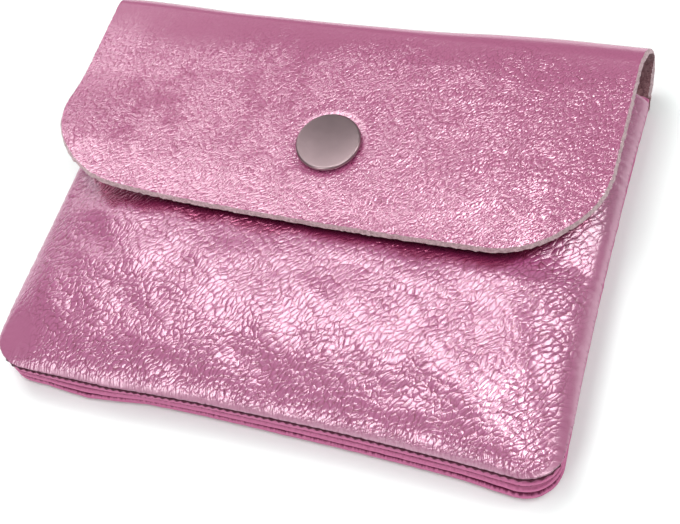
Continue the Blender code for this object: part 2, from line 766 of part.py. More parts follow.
def build_bail(foot):
    """Arch over the slider that holds the pull's eye: straight legs and a half ring between them."""
    leg = PULL_THICKNESS + SEAT_GAP
    middle = foot + leg
    half = BAIL_WIRE / 2.0
    bm = bmesh.new()
    corners = [(-half, -half), (half, -half), (half, half), (-half, half)]
    stations = [(BAIL_REACH, foot)]
    stations += [
        (BAIL_REACH * math.cos(turn), middle + BAIL_REACH * math.sin(turn) * BAIL_RISE_SHARE)
        for turn in [math.pi * k / 8.0 for k in range(9)]
    ]
    stations.append((-BAIL_REACH, foot))
    rings = []
    for k, (x, z) in enumerate(stations):
        before = Vector(stations[max(k - 1, 0)])
        after = Vector(stations[min(k + 1, len(stations) - 1)])
        along = (after - before).normalized()
        out = Vector((along.y, -along.x))
        rings.append([
            bm.verts.new((SLIDER_X + x + out.x * v, CHAIN_Y + u, z + out.y * v)) for u, v in corners
        ])
    for a, b in zip(rings, rings[1:]):
        for m in range(4):
            bm.faces.new((a[m], a[(m + 1) % 4], b[(m + 1) % 4], b[m]))
    bm.faces.new(rings[0])
    bm.faces.new(rings[-1])
    return bm


def build_pull():
    """Flat tab with a round eye on the bail's rear leg and a slot near its end."""
    eye_x = SLIDER_X - BAIL_REACH
    bar_x = eye_x + (PULL_WIDTH / 2.0 + PULL_EYE_RADIUS) / 2.0
    low_z = CHAIN_Z + TOOTH_HEIGHT / 2.0 + SLIDER_CLEARANCE + SLIDER_PLATE + SEAT_GAP
    eye_outer = PULL_WIDTH / 2.0
    neck_half = PULL_WIDTH / 4.0
    tab_start = 2.0 * eye_outer
    end_radius = PULL_WIDTH / 2.0
    arc = [
        (eye_outer * math.cos(turn), eye_outer * math.sin(turn))
        for turn in [math.radians(15.0 * k) for k in range(-9, 10)]
    ]
    tip = [
        (-PULL_LENGTH + end_radius - end_radius * math.sin(turn), end_radius * math.cos(turn))
        for turn in [math.radians(30.0 * k) for k in range(7)]
    ]
    outline = arc + [(-tab_start, neck_half)] + tip + [(-tab_start, -neck_half)]
    bm = bmesh.new()
    face = bm.faces.new([bm.verts.new((eye_x + x, CHAIN_Y + y, low_z)) for x, y in outline])
    grown = bmesh.ops.extrude_face_region(bm, geom=[face])["geom"]
    verts = [item for item in grown if isinstance(item, bmesh.types.BMVert)]
    bmesh.ops.translate(bm, verts=verts, vec=(0.0, 0.0, PULL_THICKNESS))
    hinge = (bar_x, CHAIN_Y, low_z + PULL_THICKNESS / 2.0)
    pull = add_mesh("zip_pull", bm, "satin nickel", hinge)
    for name, x, radius in (
        ("pull_eye", eye_x, PULL_EYE_RADIUS),
        ("pull_slot", eye_x - PULL_LENGTH + end_radius, end_radius / 2.0),
    ):
        cutter = bmesh.new()
        bmesh.ops.create_cone(
            cutter, cap_ends=True, segments=ROUND_STEPS // 2, radius1=radius, radius2=radius,
            depth=4.0 * PULL_THICKNESS
        )
        bmesh.ops.translate(cutter, verts=cutter.verts, vec=(x, CHAIN_Y, low_z))
        combine(pull, add_cutter(cutter, name), "DIFFERENCE")


def build_stops():
    """Small clamps: one past the end of each row, one across both rows at the other end."""
    half_z = TOOTH_HEIGHT / 2.0
    inner = CHAIN_HALF_WIDTH - CORD_WIDTH
    start = CHAIN_HALF_LENGTH
    spots = {
        "zip_top_stop_upper": (start, start + STOP_LENGTH, -CHAIN_HALF_WIDTH, -inner),
        "zip_top_stop_lower": (start, start + STOP_LENGTH, inner, CHAIN_HALF_WIDTH),
        "zip_bottom_stop": (
            -start - SEAT_GAP - STOP_LENGTH, -start - SEAT_GAP, -CHAIN_HALF_WIDTH, CHAIN_HALF_WIDTH
        ),
    }
    for node, (x0, x1, y0, y1) in spots.items():
        bm = block(bmesh.new(), (x0, CHAIN_Y + y0, CHAIN_Z - half_z), (x1, CHAIN_Y + y1, CHAIN_Z + half_z))
        bmesh.ops.bevel(
            bm, geom=bm.edges, offset=CORD_WIDTH / 4.0, segments=1, affect="EDGES", profile=0.5
        )
        add_mesh(node, bm, "satin nickel")


def build_zip():
    build_tapes()
    build_teeth()
    build_slider()
    build_pull()
    build_stops()


# Threads

def add_thread(node, points, thickness):
    curve = bpy.data.curves.new(node, "CURVE")
    curve.dimensions = "3D"
    curve.bevel_depth = thickness / 2.0
    curve.bevel_resolution = 0
    curve.use_fill_caps = True
    spline = curve.splines.new("POLY")
    spline.points.add(len(points) - 1)
    for point, place in zip(spline.points, points):
        point.co = (*place, 1.0)
    curve.materials.append(finish_of(node, "thread"))
    item = bpy.data.objects.new(node, curve)
    bpy.context.scene.collection.objects.link(item)
    item.parent = WALLET
    return item


def build_seam_threads():
    """One thread in the valley between each two turned edges, from mouth to mouth."""
    shares = column_shares(PANEL_COLUMNS)
    rows = CORNER_ROWS + PANEL_SIDE_ROWS
    for level, node in enumerate(("seam_thread_rear", "seam_thread_middle", "seam_thread_front"), start=1):
        z = BACK_CROWN + level * BEAD_STEP - SEAT_GAP / 2.0
        points = []
        for i, j in border_path(PANEL_COLUMNS, rows):
            x, y = outline_point(shares[i], j, SEAM_THREAD_INSET, lambda x: FRONT_MOUTH, PANEL_SIDE_ROWS)
            points.append((x, y, z))
        add_thread(node, points, SEAM_THREAD)


def build_stitching():
    """Rows of stitches that hold the zip's tapes to the leather."""
    half = CHAIN_HALF_LENGTH
    seat = SEAT_GAP + STITCH_THREAD / 2.0
    count = 2 * int(half / STITCH_LENGTH)
    lines = {
        "zip_stitching_upper": (ZIP_MOUTH - STITCH_FROM_EDGE, inner_under, LEATHER),
        "zip_stitching_lower": (
            REAR_MOUTH - TAPE_FROM_MOUTH - STITCH_FROM_EDGE / 2.0, rear_under, LEATHER + SEAT_GAP + TAPE
        ),
    }
    for node, (y, under, cover) in lines.items():
        points = []
        for k in range(2 * count + 1):
            x = half * (k / count - 1.0)
            arch = STITCH_THREAD / 2.0 * (k % 2)
            points.append((x, y, under(x, y) + cover + seat + arch))
        add_thread(node, points, STITCH_THREAD)


clear_scene()
WALLET = bpy.data.objects.new("wallet", None)
bpy.context.scene.collection.objects.link(WALLET)
WALLET.location = (0.0, -BODY_HEIGHT / 2.0, 0.0)
build_body()
build_fold()
build_flap()
build_snap()
build_zip()
build_seam_threads()
build_stitching()
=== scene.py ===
# Flap wallet in pink foil leather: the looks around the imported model.
# Lengths are in millimetres until a mesh is made.
import math

import bpy
import numpy as np
from mathutils import Matrix, Vector, noise


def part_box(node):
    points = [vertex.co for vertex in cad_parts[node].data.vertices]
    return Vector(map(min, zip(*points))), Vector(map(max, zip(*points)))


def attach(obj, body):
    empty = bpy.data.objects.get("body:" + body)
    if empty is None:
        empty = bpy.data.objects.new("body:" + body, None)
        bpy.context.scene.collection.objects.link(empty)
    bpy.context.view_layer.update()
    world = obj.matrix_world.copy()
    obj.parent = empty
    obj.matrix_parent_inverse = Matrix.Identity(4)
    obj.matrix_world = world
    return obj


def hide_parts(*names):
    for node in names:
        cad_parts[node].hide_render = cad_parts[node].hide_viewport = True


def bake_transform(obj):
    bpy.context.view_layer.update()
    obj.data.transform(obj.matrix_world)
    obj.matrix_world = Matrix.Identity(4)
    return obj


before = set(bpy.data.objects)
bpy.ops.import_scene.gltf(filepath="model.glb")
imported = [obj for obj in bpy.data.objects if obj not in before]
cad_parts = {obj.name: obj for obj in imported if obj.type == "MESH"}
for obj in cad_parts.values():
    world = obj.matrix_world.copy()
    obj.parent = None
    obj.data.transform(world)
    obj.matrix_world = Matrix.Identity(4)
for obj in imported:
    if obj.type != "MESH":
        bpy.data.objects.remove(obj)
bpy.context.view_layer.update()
print("frame loaded:", len(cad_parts), "nodes")

mm = 0.001
stack = np.column_stack

body = {
    "width": 130.0, "height": 105.9, "sideDrawIn": 0.7, "bottomDrawUp": 1.4, "cornerRadius": 8.5,
    "leather": 1.0, "turnedEdge": 4.5, "backCrown": 0.5, "levelStep": 2.3,
    "skin": 0.85,  # thickness shown, so that the turned edges stay apart
    "smoothAngle": 50.0,  # degrees past which an edge of a sheet stays sharp
    "crownReach": 19.0, "crownPower": 2.2, "crownFullness": 0.8,
    "foldRadius": 8.9, "rearMouthPastFold": 0.9, "frontMouthDrop": 4.0,
    "zipMouthDrop": 16.0, "zipCut": (50.0, 4.0),
}
foldLine = body["height"] - body["foldRadius"]
rearMouth = foldLine + body["rearMouthPastFold"]
frontMouth = rearMouth - body["frontMouthDrop"]
halfHeight = body["height"] / 2.0

fold = {
    "centreZ": 9.4, "left": 66.6, "right": 65.1, "rightFlare": 0.6, "runIn": 12.0, "calm": 0.80,
    "fray": 0.16, "frays": ((0.9, 1.0), (2.3, 1.0), 0.7, (61.0, 67.0)),
    "bendHalf": 15.0,  # degrees on each side of a strip's middle
    "runOut": 3.0,  # a distance before the fold, for the back and the flap
    # how far the outside of the loop falls short of its full reach, by place across
    "slackAt": [-70.0, -60.0, -48.0, -36.0, -24.0, -12.0, 0.0, 12.0, 20.0, 28.0, 43.0, 66.0],
    "slack": [4.2, 3.7, 4.1, 5.0, 4.6, 4.5, 3.9, 3.4, 2.7, 1.5, 0.3, 0.0],
    "slackBlend": 13,
}

flap = {
    "left": 67.6, "right": 62.9, "reach": 52.2, "leftCorner": 20.5, "rightCorner": 23.0, "bow": 1.8,
    "drop": 0.2, "leftLift": 2.8, "liftStart": 30.0, "liftRise": (20.0, 22.0), "snapFromEdge": 20.0,
}
flapUnder = fold["centreZ"] + body["foldRadius"] - body["leather"]
snapY = foldLine - flap["reach"] + flap["snapFromEdge"]


# Small helpers

def deselectAll():
    if bpy.context.object and bpy.context.object.mode != "OBJECT":
        bpy.ops.object.mode_set(mode="OBJECT")
    bpy.ops.object.select_all(action="DESELECT")


def smoothStep(value):
    value = np.clip(value, 0.0, 1.0)
    return value * value * (3.0 - 2.0 * value)


def ramp(value, start, reach):
    # a soft rise from 0 to 1 that starts at start and takes reach
    return smoothStep((value - start) / reach)


def crowded(across, even):
    # places from -1 to 1, closer together towards the ends
    return even * across + (1.0 - even) * np.sin(math.pi / 2.0 * across)


def roundedCorner(overX, overY):
    # which places of a square corner to move onto the round one, and by how much
    inCorner = (overX > 0.0) & (overY > 0.0)
    return inCorner, np.maximum(overX, overY) / np.maximum(np.hypot(overX, overY), 1e-9)


def rippleAt(u, v, seed):
    # noise from -1 to 1 at arrays of 2-D places
    u, v = np.broadcast_arrays(u, v)
    flat = [noise.noise((float(a), float(b), seed)) for a, b in zip(u.ravel(), v.ravel())]
    return np.array(flat).reshape(u.shape)


def ripples(u, v, slow, quick, share, seeds):
    # slow ripples and a share of quick ones, each with its scales across and up
    first = rippleAt(u * slow[0], v * slow[1], seeds[0])
    return first + share * rippleAt(u * quick[0], v * quick[1], seeds[1])


class Wire:
    # a node's output that Python sums work on
    def __init__(self, paint, socket):
        self.paint = paint
        self.socket = socket

    def sum(self, operation, first, second=0.0):
        return self.paint.add("ShaderNodeMath", {"operation": operation}, {0: first, 1: second})

    def __add__(self, other):
        return self.sum("ADD", self, other)

    __radd__ = __add__

    def __sub__(self, other):
        return self.sum("SUBTRACT", self, other)

    def __rsub__(self, other):
        return self.sum("SUBTRACT", other, self)

    def __mul__(self, other):
        return self.sum("MULTIPLY", self, other)

    __rmul__ = __mul__

    def __abs__(self):
        return self.sum("ABSOLUTE", self)

    def orMore(self, other):
        return self.sum("MAXIMUM", self, other)


class Paint:
    # one material and the way its nodes are made
    def __init__(self, name):
        self.material = bpy.data.materials.new(name)
        self.material.use_nodes = True
        self.tree = self.material.node_tree
        self.shader = self.tree.nodes["Principled BSDF"]

    def add(self, kind, settings=None, sockets=None, output=0):
        node = self.tree.nodes.new(kind)
        for key, value in (settings or {}).items():
            setattr(node, key, value)
        for key, value in (sockets or {}).items():
            self.feed(node.inputs[key], value)
        return Wire(self, node.outputs[output])

    def feed(self, socket, value):
        if isinstance(value, Wire):
            self.tree.links.new(value.socket, socket)
        elif isinstance(value, tuple) and socket.type == "RGBA":
            socket.default_value = (*value, 1.0)
        else:
            socket.default_value = value

    def finish(self, sockets):
        for key, value in sockets.items():
            self.feed(self.shader.inputs[key], value)
        return self.material

    def attribute(self, name, output="Vector"):
        return self.add("ShaderNodeAttribute", {"attribute_name": name}, output=output)

    def inMillimetres(self):
        return self.moved(self.add("ShaderNodeTexCoord", output="Object"), 0.0, (1000.0, 1000.0, 1000.0))

    def vectorSum(self, operation, first, second):
        return self.add("ShaderNodeVectorMath", {"operation": operation}, {0: first, 1: second})

    def moved(self, vector, turn=0.0, scale=(1.0, 1.0, 1.0)):
        sockets = {"Vector": vector, "Angle": turn}
        turned = self.add("ShaderNodeVectorRotate", {"rotation_type": "Z_AXIS"}, sockets)
        return self.vectorSum("MULTIPLY", turned, scale)

    def cloud(self, vector, scale, detail=2.0, rough=0.5, output="Fac", flat=True):
        settings = {"noise_dimensions": "2D" if flat else "3D"}
        sockets = {"Vector": vector, "Scale": scale, "Detail": detail, "Roughness": rough}
        return self.add("ShaderNodeTexNoise", settings, sockets, output)

    def cells(self, vector, scale, feature="DISTANCE_TO_EDGE"):
        settings = {"voronoi_dimensions": "2D", "feature": feature}
        return self.add("ShaderNodeTexVoronoi", settings, {"Vector": vector, "Scale": scale}, "Distance")

    def between(self, value, low, high, toLow=0.0, toHigh=1.0):
        sockets = {"Value": value, "From Min": low, "From Max": high, "To Min": toLow, "To Max": toHigh}
        return self.add("ShaderNodeMapRange", {"interpolation_type": "SMOOTHSTEP"}, sockets)

    def mix(self, share, first, second):
        return self.add("ShaderNodeMix", {"data_type": "RGBA"}, {0: share, 6: first, 7: second}, 2)

    def part(self, vector, axis):
        return self.add("ShaderNodeSeparateXYZ", None, {0: vector}, axis)

    def shift(self, vector, scale, amount):
        # pushes a pattern about by a coloured noise
        cloud = self.cloud(vector, scale, output="Color")
        centred = self.vectorSum("SUBTRACT", cloud, (0.5, 0.5, 0.5))
        scaled = self.add("ShaderNodeVectorMath", {"operation": "SCALE"}, {0: centred, "Scale": amount})
        return self.vectorSum("ADD", vector, scaled)

    def bump(self, height, depth):
        return self.add("ShaderNodeBump", None, {"Height": height, "Distance": depth * mm}, "Normal")


# Leather finishes. Lengths in these are millimetres on the hide.

# pearly foil: a deep pink body under a pale gloss
foilLooks = {
    "foilFront": {
        "dark": (0.29, 0.022, 0.095), "base": (0.515, 0.105, 0.285),
        "turn": -0.94, "stretch": 0.45, "pebbles": 1.10, "pebbleDepth": 0.090,
        "swirl": 1.8, "swirlDepth": 0.09, "long": 0.26, "longDepth": 0.13,
        "grooveWidth": 0.24, "grooveDepth": 0.030, "creaseShade": 0.65, "gather": 0.17,
        "roughness": 0.21, "inSeamShade": (0.3, -0.6), "flapEdgeShade": 1.0,
    },
    "foilFlap": {
        "dark": (0.31, 0.028, 0.11), "base": (0.515, 0.104, 0.266),
        "turn": 0.94, "stretch": 0.38, "pebbles": 1.75, "pebbleDepth": 0.026,
        "swirl": 2.1, "swirlDepth": 0.105, "long": 0.35, "longDepth": 0.02,
        "grooveWidth": 0.30, "grooveDepth": 0.020, "creaseShade": 0.35, "gather": 0.0,
        "roughness": 0.155, "inSeamShade": (-8.0, -9.0),
    },
    "foilRoll": {
        "dark": (0.30, 0.015, 0.10), "base": (0.57, 0.070, 0.26), "gloss": (1.0, 0.62, 0.80),
        "turn": 0.30, "stretch": 0.7, "pebbles": 1.20, "pebbleDepth": 0.040,
        "swirl": 1.4, "swirlDepth": 0.06, "long": 0.30, "longDepth": 0.06,
        "grooveWidth": 0.10, "grooveDepth": 0.006, "creaseShade": 0.4, "gather": 0.12,
        "roughness": 0.36, "inSeamShade": (-2.1, -2.9), "pressedShade": 0.35,
    },
}
foilCommon = {
    # a cloud is scale, detail and roughness, a shift is scale and amount
    "gloss": (1.0, 1.0, 1.0), "pressedShade": 0.0, "flapEdgeShade": 0.0,
    "drift": (0.14, 2.6), "warp": (1.1, 0.28), "domeFall": 1.6, "creaseWidth": 0.09, "swirlDetail": 1.5,
    "livelyCloud": (0.11, 2.0, 0.6), "lively": (0.34, 0.64, 0.6, 1.2),
    "longStretch": 0.30, "longDetail": 1.0, "longWhereCalm": 0.3,
    "hollow": (0.55, 0.30), "hollowShade": 0.45, "calmShade": 0.30,
    "creaseRoughness": 0.10, "calmRoughness": 0.12, "metal": 0.12, "creaseMetal": 0.55, "ior": 3.25,
    # folds gathered in by the seams
    "gatherShift": (0.4, 0.7), "gatherStretch": 0.12, "gatherCloud": (1.7, 1.0),
    "gatherDepth": (7.5, 0.6), "gatherEnds": (66.0, 58.0),
    # painted shade, dark and uneven, in the seam valleys where the layers press together at the seams
    "seamShadeColour": (0.07, 0.006, 0.025), "seamShadeShare": 0.9, "seamShadeMetal": 0.8,
    "jaggedCloud": (1.3, 2.0, 0.6), "jagged": 1.2, "pressedFrom": (-1.1, -0.5), "pressedTo": (0.8, 0.2),
}
flapEdgeShadeLook = {
    # painted shade: a dark line on the front beside the flap's edge, for the flap's shadow and its dark
    # underside mirrored in the foil; in millimetres from the edge, it turns up at the flap's corners
    "colour": (0.42, 0.032, 0.15), "metal": 0.55, "from": (-4.5, -1.5), "to": (9.0, 0.0),
    "uneven": 2.0, "wander": 3.5, "wanderCloud": (0.09, 1.0),
    "centre": -2.0, "corner": (44.0, 66.0, 0.0, 19.0), "sides": (60.5, 58.0),
}


def foilLeather(name):
    look = {**foilCommon, **foilLooks[name]}
    paint = Paint(name)
    hide = paint.attribute("hide")
    rim = paint.attribute("rim")
    calm = paint.attribute("calm", "Fac")
    grainy = 1.0 - calm
    # grain: stretched pebbles with creases between them
    warped = paint.shift(paint.shift(hide, *look["drift"]), *look["warp"])
    turned = paint.moved(warped, look["turn"], (look["stretch"], 1.0, 1.0))
    toMiddle = paint.cells(turned, look["pebbles"], "F1")
    dome = 1.0 - toMiddle * toMiddle * look["domeFall"]
    toSide = paint.cells(turned, look["pebbles"])
    flank = 1.0 - paint.between(toSide, 0.0, look["creaseWidth"])
    inCrease = flank * grainy
    groove = paint.between(toSide, 0.0, look["grooveWidth"])
    swirl = paint.cloud(turned, look["swirl"], look["swirlDetail"])
    lively = paint.between(paint.cloud(hide, *look["livelyCloud"]), *look["lively"])
    grain = dome * look["pebbleDepth"] + swirl * look["swirlDepth"] + groove * look["grooveDepth"]
    # long waves under it, and the gathered folds
    longPlace = paint.moved(warped, look["turn"], (look["longStretch"], 1.0, 1.0))
    longWave = paint.cloud(longPlace, look["long"], look["longDetail"])
    stillLong = look["longWhereCalm"] + (1.0 - look["longWhereCalm"]) * grainy
    fromEdge, alongEdge = paint.part(rim, "Y"), paint.part(rim, "X")
    nearEdge = paint.between(fromEdge, *look["gatherDepth"])
    nearEdge = nearEdge * paint.between(abs(alongEdge), *look["gatherEnds"])
    gatherPlace = paint.moved(paint.shift(rim, *look["gatherShift"]), 0.0, (1.0, look["gatherStretch"], 1.0))
    gather = paint.cloud(gatherPlace, *look["gatherCloud"])
    height = grain * lively * grainy + longWave * look["longDepth"] * stillLong
    height = height + gather * nearEdge * look["gather"]
    deep = flank * look["creaseShade"] + paint.between(swirl, *look["hollow"]) * look["hollowShade"]
    shade = 1.0 - deep * grainy - calm * look["calmShade"]
    # painted shade in the seams, dark and uneven where the layers press together
    jagged = paint.cloud(paint.moved(rim, 0.0, (1.0, 0.0, 0.0)), *look["jaggedCloud"]) - 0.5
    inSeamShade = paint.between(fromEdge + jagged * look["jagged"], *look["inSeamShade"])
    pressedShade = paint.between(fromEdge + jagged, *look["pressedFrom"])
    pressedShade = pressedShade * paint.between(fromEdge + jagged, *look["pressedTo"])
    seamShade = inSeamShade.orMore(pressedShade * look["pressedShade"])
    # painted shade in a line beside the flap's edge, for the flap's shadow and the dark underside the foil
    # mirrors there
    acrossHide, upHide = paint.part(hide, "X"), paint.part(hide, "Y")
    corner = paint.between(abs(acrossHide - flapEdgeShadeLook["centre"]), *flapEdgeShadeLook["corner"])
    wander = (paint.cloud(hide, *flapEdgeShadeLook["wanderCloud"]) - 0.5) * flapEdgeShadeLook["wander"]
    overEdge = upHide - corner + wander + toMiddle * flapEdgeShadeLook["uneven"] - (foldLine - flap["reach"])
    flapEdgeShade = paint.between(overEdge, *flapEdgeShadeLook["from"]) * paint.between(overEdge, *flapEdgeShadeLook["to"])
    flapEdgeShade = flapEdgeShade * paint.between(acrossHide, *flapEdgeShadeLook["sides"]) * look["flapEdgeShade"]
    # the painted shade beside the flap's edge is laid over the leather's colour
    colour = paint.mix(flapEdgeShade, paint.mix(shade, look["dark"], look["base"]), flapEdgeShadeLook["colour"])
    # the painted seam shade is dark in the base colour and metallic, so that the seams mirror little light
    metal = (seamShade * look["seamShadeMetal"]).orMore(flapEdgeShade * flapEdgeShadeLook["metal"])
    return paint.finish({
        "Base Color": paint.mix(seamShade * look["seamShadeShare"], colour, look["seamShadeColour"]),
        "Roughness": look["roughness"] + inCrease * look["creaseRoughness"] + calm * look["calmRoughness"],
        "Metallic": look["metal"] + metal.orMore(inCrease * look["creaseMetal"]),
        "IOR": look["ior"],
        "Specular Tint": look["gloss"],
        "Normal": paint.bump(height, 1.0),
    })


napLooks = {
    # the nap of the cut edges is finer than that of the flesh side
    "suede": {"dark": (0.13, 0.042, 0.056), "light": (0.50, 0.25, 0.28), "depth": 0.26, "fine": 1.0},
    "rawEdge": {"dark": (0.42, 0.22, 0.26), "light": (0.95, 0.70, 0.74), "depth": 0.38, "fine": 1.6},
}
napCommon = {
    "nap": 1.1, "napDetail": 4.0, "rough": 0.7, "napShare": 0.6, "tone": (0.32, 0.66),
    "fibre": 2.6, "fibreDetail": 3.0, "fibreTurn": 0.6, "fibreStretch": 3.0, "fibreHeight": 0.8,
    "roughness": 0.95, "sheen": 0.3,
}


def napped(name):
    # brushed flesh side or raw cut edge
    look = {**napCommon, **napLooks[name]}
    paint = Paint(name)
    place = paint.inMillimetres()
    nap = paint.cloud(place, look["nap"] * look["fine"], look["napDetail"], look["rough"], flat=False)
    along = paint.moved(place, look["fibreTurn"], (1.0, look["fibreStretch"], 1.0))
    fibre = paint.cloud(along, look["fibre"] * look["fine"], look["fibreDetail"], look["rough"], flat=False)
    tone = paint.between(nap * look["napShare"] + fibre * (1.0 - look["napShare"]), *look["tone"])
    return paint.finish({
        "Base Color": paint.mix(tone, look["dark"], look["light"]),
        "Roughness": look["roughness"],
        "Sheen Weight": look["sheen"],
        "Normal": paint.bump(nap + fibre * look["fibreHeight"], look["depth"]),
    })


metalLooks = {
    "satinNickel": {"dark": (0.36, 0.265, 0.28), "light": (0.43, 0.315, 0.335), "dull": 0.27, "brush": 0.04},
    "zipNickel": {"dark": (0.44, 0.40, 0.39), "light": (0.62, 0.58, 0.56), "dull": 0.24, "brush": 0.10},
    "springSteel": {"dark": (0.38, 0.38, 0.39), "light": (0.56, 0.56, 0.57), "dull": 0.28, "brush": 0.08},
}
metalCommon = {
    "haze": (0.35, 3.0, 0.6), "depth": 0.008,
    "turn": 0.5, "stretch": (0.6, 9.0, 1.0), "grain": (2.5, 2.0, 0.5),
}


def plated(name):
    look = {**metalCommon, **metalLooks[name]}
    paint = Paint(name)
    place = paint.inMillimetres()
    haze = paint.cloud(place, *look["haze"], flat=False)
    grain = paint.cloud(paint.moved(place, look["turn"], look["stretch"]), *look["grain"], flat=False)
    return paint.finish({
        "Base Color": paint.mix(haze, look["dark"], look["light"]),
        "Roughness": look["dull"] + look["brush"] * grain,
        "Metallic": 1.0,
        "Normal": paint.bump(grain + haze, look["depth"]),
    })


ribLooks = {
    "tape": {
        "dark": (0.075, 0.018, 0.040), "light": (0.23, 0.075, 0.135), "rib": 2.1, "depth": 0.12, "lint": 0.3,
    },
    "thread": {
        "dark": (0.045, 0.004, 0.016), "light": (0.20, 0.020, 0.075), "rib": 2.3, "depth": 0.08, "lint": 0.05,
    },
}
ribCommon = {"lintCloud": (3.0, 3.0, 0.6), "roughness": 0.85, "sheen": 0.05}


def ribbed(name):
    # woven tape, or twisted thread with little lint
    look = {**ribCommon, **ribLooks[name]}
    paint = Paint(name)
    place = paint.inMillimetres()
    settings = {"wave_type": "BANDS", "bands_direction": "DIAGONAL"}
    ribs = paint.add("ShaderNodeTexWave", settings, {"Vector": place, "Scale": look["rib"]}, "Fac")
    lint = paint.cloud(place, *look["lintCloud"], flat=False) * look["lint"]
    return paint.finish({
        "Base Color": paint.mix(ribs * (1.0 - look["lint"]) + lint, look["dark"], look["light"]),
        "Roughness": look["roughness"],
        "Sheen Weight": look["sheen"],
        "Normal": paint.bump(ribs + lint, look["depth"]),
    })


finishes = {}
for looks, maker in ((foilLooks, foilLeather), (napLooks, napped), (metalLooks, plated), (ribLooks, ribbed)):
    for name in looks:
        finishes[name] = maker(name)
print("finishes made:", len(finishes))


# Shape of the wallet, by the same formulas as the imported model

def halfWidth(y):
    share = np.clip((y - body["cornerRadius"]) / (rearMouth - body["cornerRadius"]), 0.0, 1.0)
    return body["width"] / 2.0 - body["sideDrawIn"] * np.sin(math.pi * share)


def drawUp(x, y):
    middle = 1.0 - (2.0 * x / body["width"]) ** 2
    return y + body["bottomDrawUp"] * middle * (1.0 - y / body["height"])


def crown(depth):
    share = np.clip(depth / body["crownReach"], 0.0, 1.0)
    return (1.0 - (1.0 - share) ** body["crownPower"]) ** body["crownFullness"]


def pillow(x, y, shoulder):
    return crown(halfWidth(y) - np.abs(x) - shoulder) * crown(y - shoulder)


def flapBottom(x, y):
    fromFold = foldLine - y
    side = ramp(-x, flap["liftStart"], flap["left"] - flap["liftStart"])
    rise = ramp(fromFold, *flap["liftRise"])
    return flapUnder - flap["drop"] * fromFold / flap["reach"] + flap["leftLift"] * side * rise


levels = {
    # number of beads below, and the sheet's top where the pockets are fully open
    "back": (0, 1.0),
    "rear": (1, 6.6),
    "inner": (2, 11.7),
    "front": (3, 16.8),
}


def footOf(level):
    return body["backCrown"] + levels[level][0] * body["levelStep"]


def risen(y):
    # towards its mouth the front stands at its full height, over the zip's pull
    return ramp(y, *frontLook["risen"])


def sheetTop(level, x, y):
    # the front's crown starts at the side of its roll, the others' behind their bead
    foot, middle = footOf(level), levels[level][1]
    front = level == "front"
    edge = foot + (body["leather"] if front else 2.0 * body["leather"])
    if not front:
        return edge + (middle - edge) * pillow(x, y, body["leather"])
    emptier = (1.0 - body["crownReach"] / frontLook["leftReach"]) * (1.0 - risen(y))
    squeeze = np.where(x < 0.0, 1.0 - emptier, 1.0)
    lowSqueeze = body["crownReach"] / frontLook["bottomReach"]
    return edge + (middle - edge) * crown((halfWidth(y) - np.abs(x)) * squeeze) * crown(y * lowSqueeze)


def sheetObject(name, columns, rows, shapeOf, finish, cuts, outward=True, skin=body["skin"]):
    # a grid laid into shape, with its place on the hide kept for the grain, then thickened inwards
    deselectAll()
    bpy.ops.mesh.primitive_grid_add(x_subdivisions=columns, y_subdivisions=rows, size=1.0)
    piece = bpy.context.object
    piece.name = name
    mesh = piece.data
    mesh.name = name
    count = len(mesh.vertices)
    flat = np.empty(count * 3)
    mesh.vertices.foreach_get("co", flat)
    flat = flat.reshape(-1, 3)
    i = np.rint((flat[:, 0] + 0.5) * columns).astype(int)
    j = np.rint((flat[:, 1] + 0.5) * rows).astype(int)
    points, hide, rim, calm = shapeOf(i, j)
    points[:, 1] -= halfHeight
    mesh.vertices.foreach_set("co", (points * mm).ravel())
    for key, places in (("hide", hide), ("rim", rim)):
        layer = mesh.attributes.new(key, "FLOAT_VECTOR", "POINT")
        layer.data.foreach_set("vector", stack([places, np.zeros(count)]).ravel())
    quiet = mesh.attributes.new("calm", "FLOAT", "POINT")
    quiet.data.foreach_set("value", calm * np.ones(count))
    for kind in (finish, "suede", "rawEdge"):
        mesh.materials.append(finishes[kind])
    if not outward:
        bpy.ops.object.mode_set(mode="EDIT")
        bpy.ops.mesh.select_all(action="SELECT")
        bpy.ops.mesh.flip_normals()
        bpy.ops.object.mode_set(mode="OBJECT")
    solid = piece.modifiers.new("thickness", "SOLIDIFY")
    solid.thickness = skin * mm
    solid.offset = -1.0
    solid.material_offset = 1
    solid.material_offset_rim = 2
    bpy.ops.object.modifier_apply(modifier=solid.name)
    slopeCuts(mesh, count, i, j, columns, rows, cuts)
    bpy.ops.object.shade_smooth_by_angle(angle=math.radians(body["smoothAngle"]))
    return piece


cutLook = {
    "slope": 0.6, "mouthSlope": 0.65, "turnOver": 4.0,
    "jitter": 0.18, "ripples": ((0.9, 1.0), (2.6, 1.0), 1.0, (83.0, 89.0)),
}


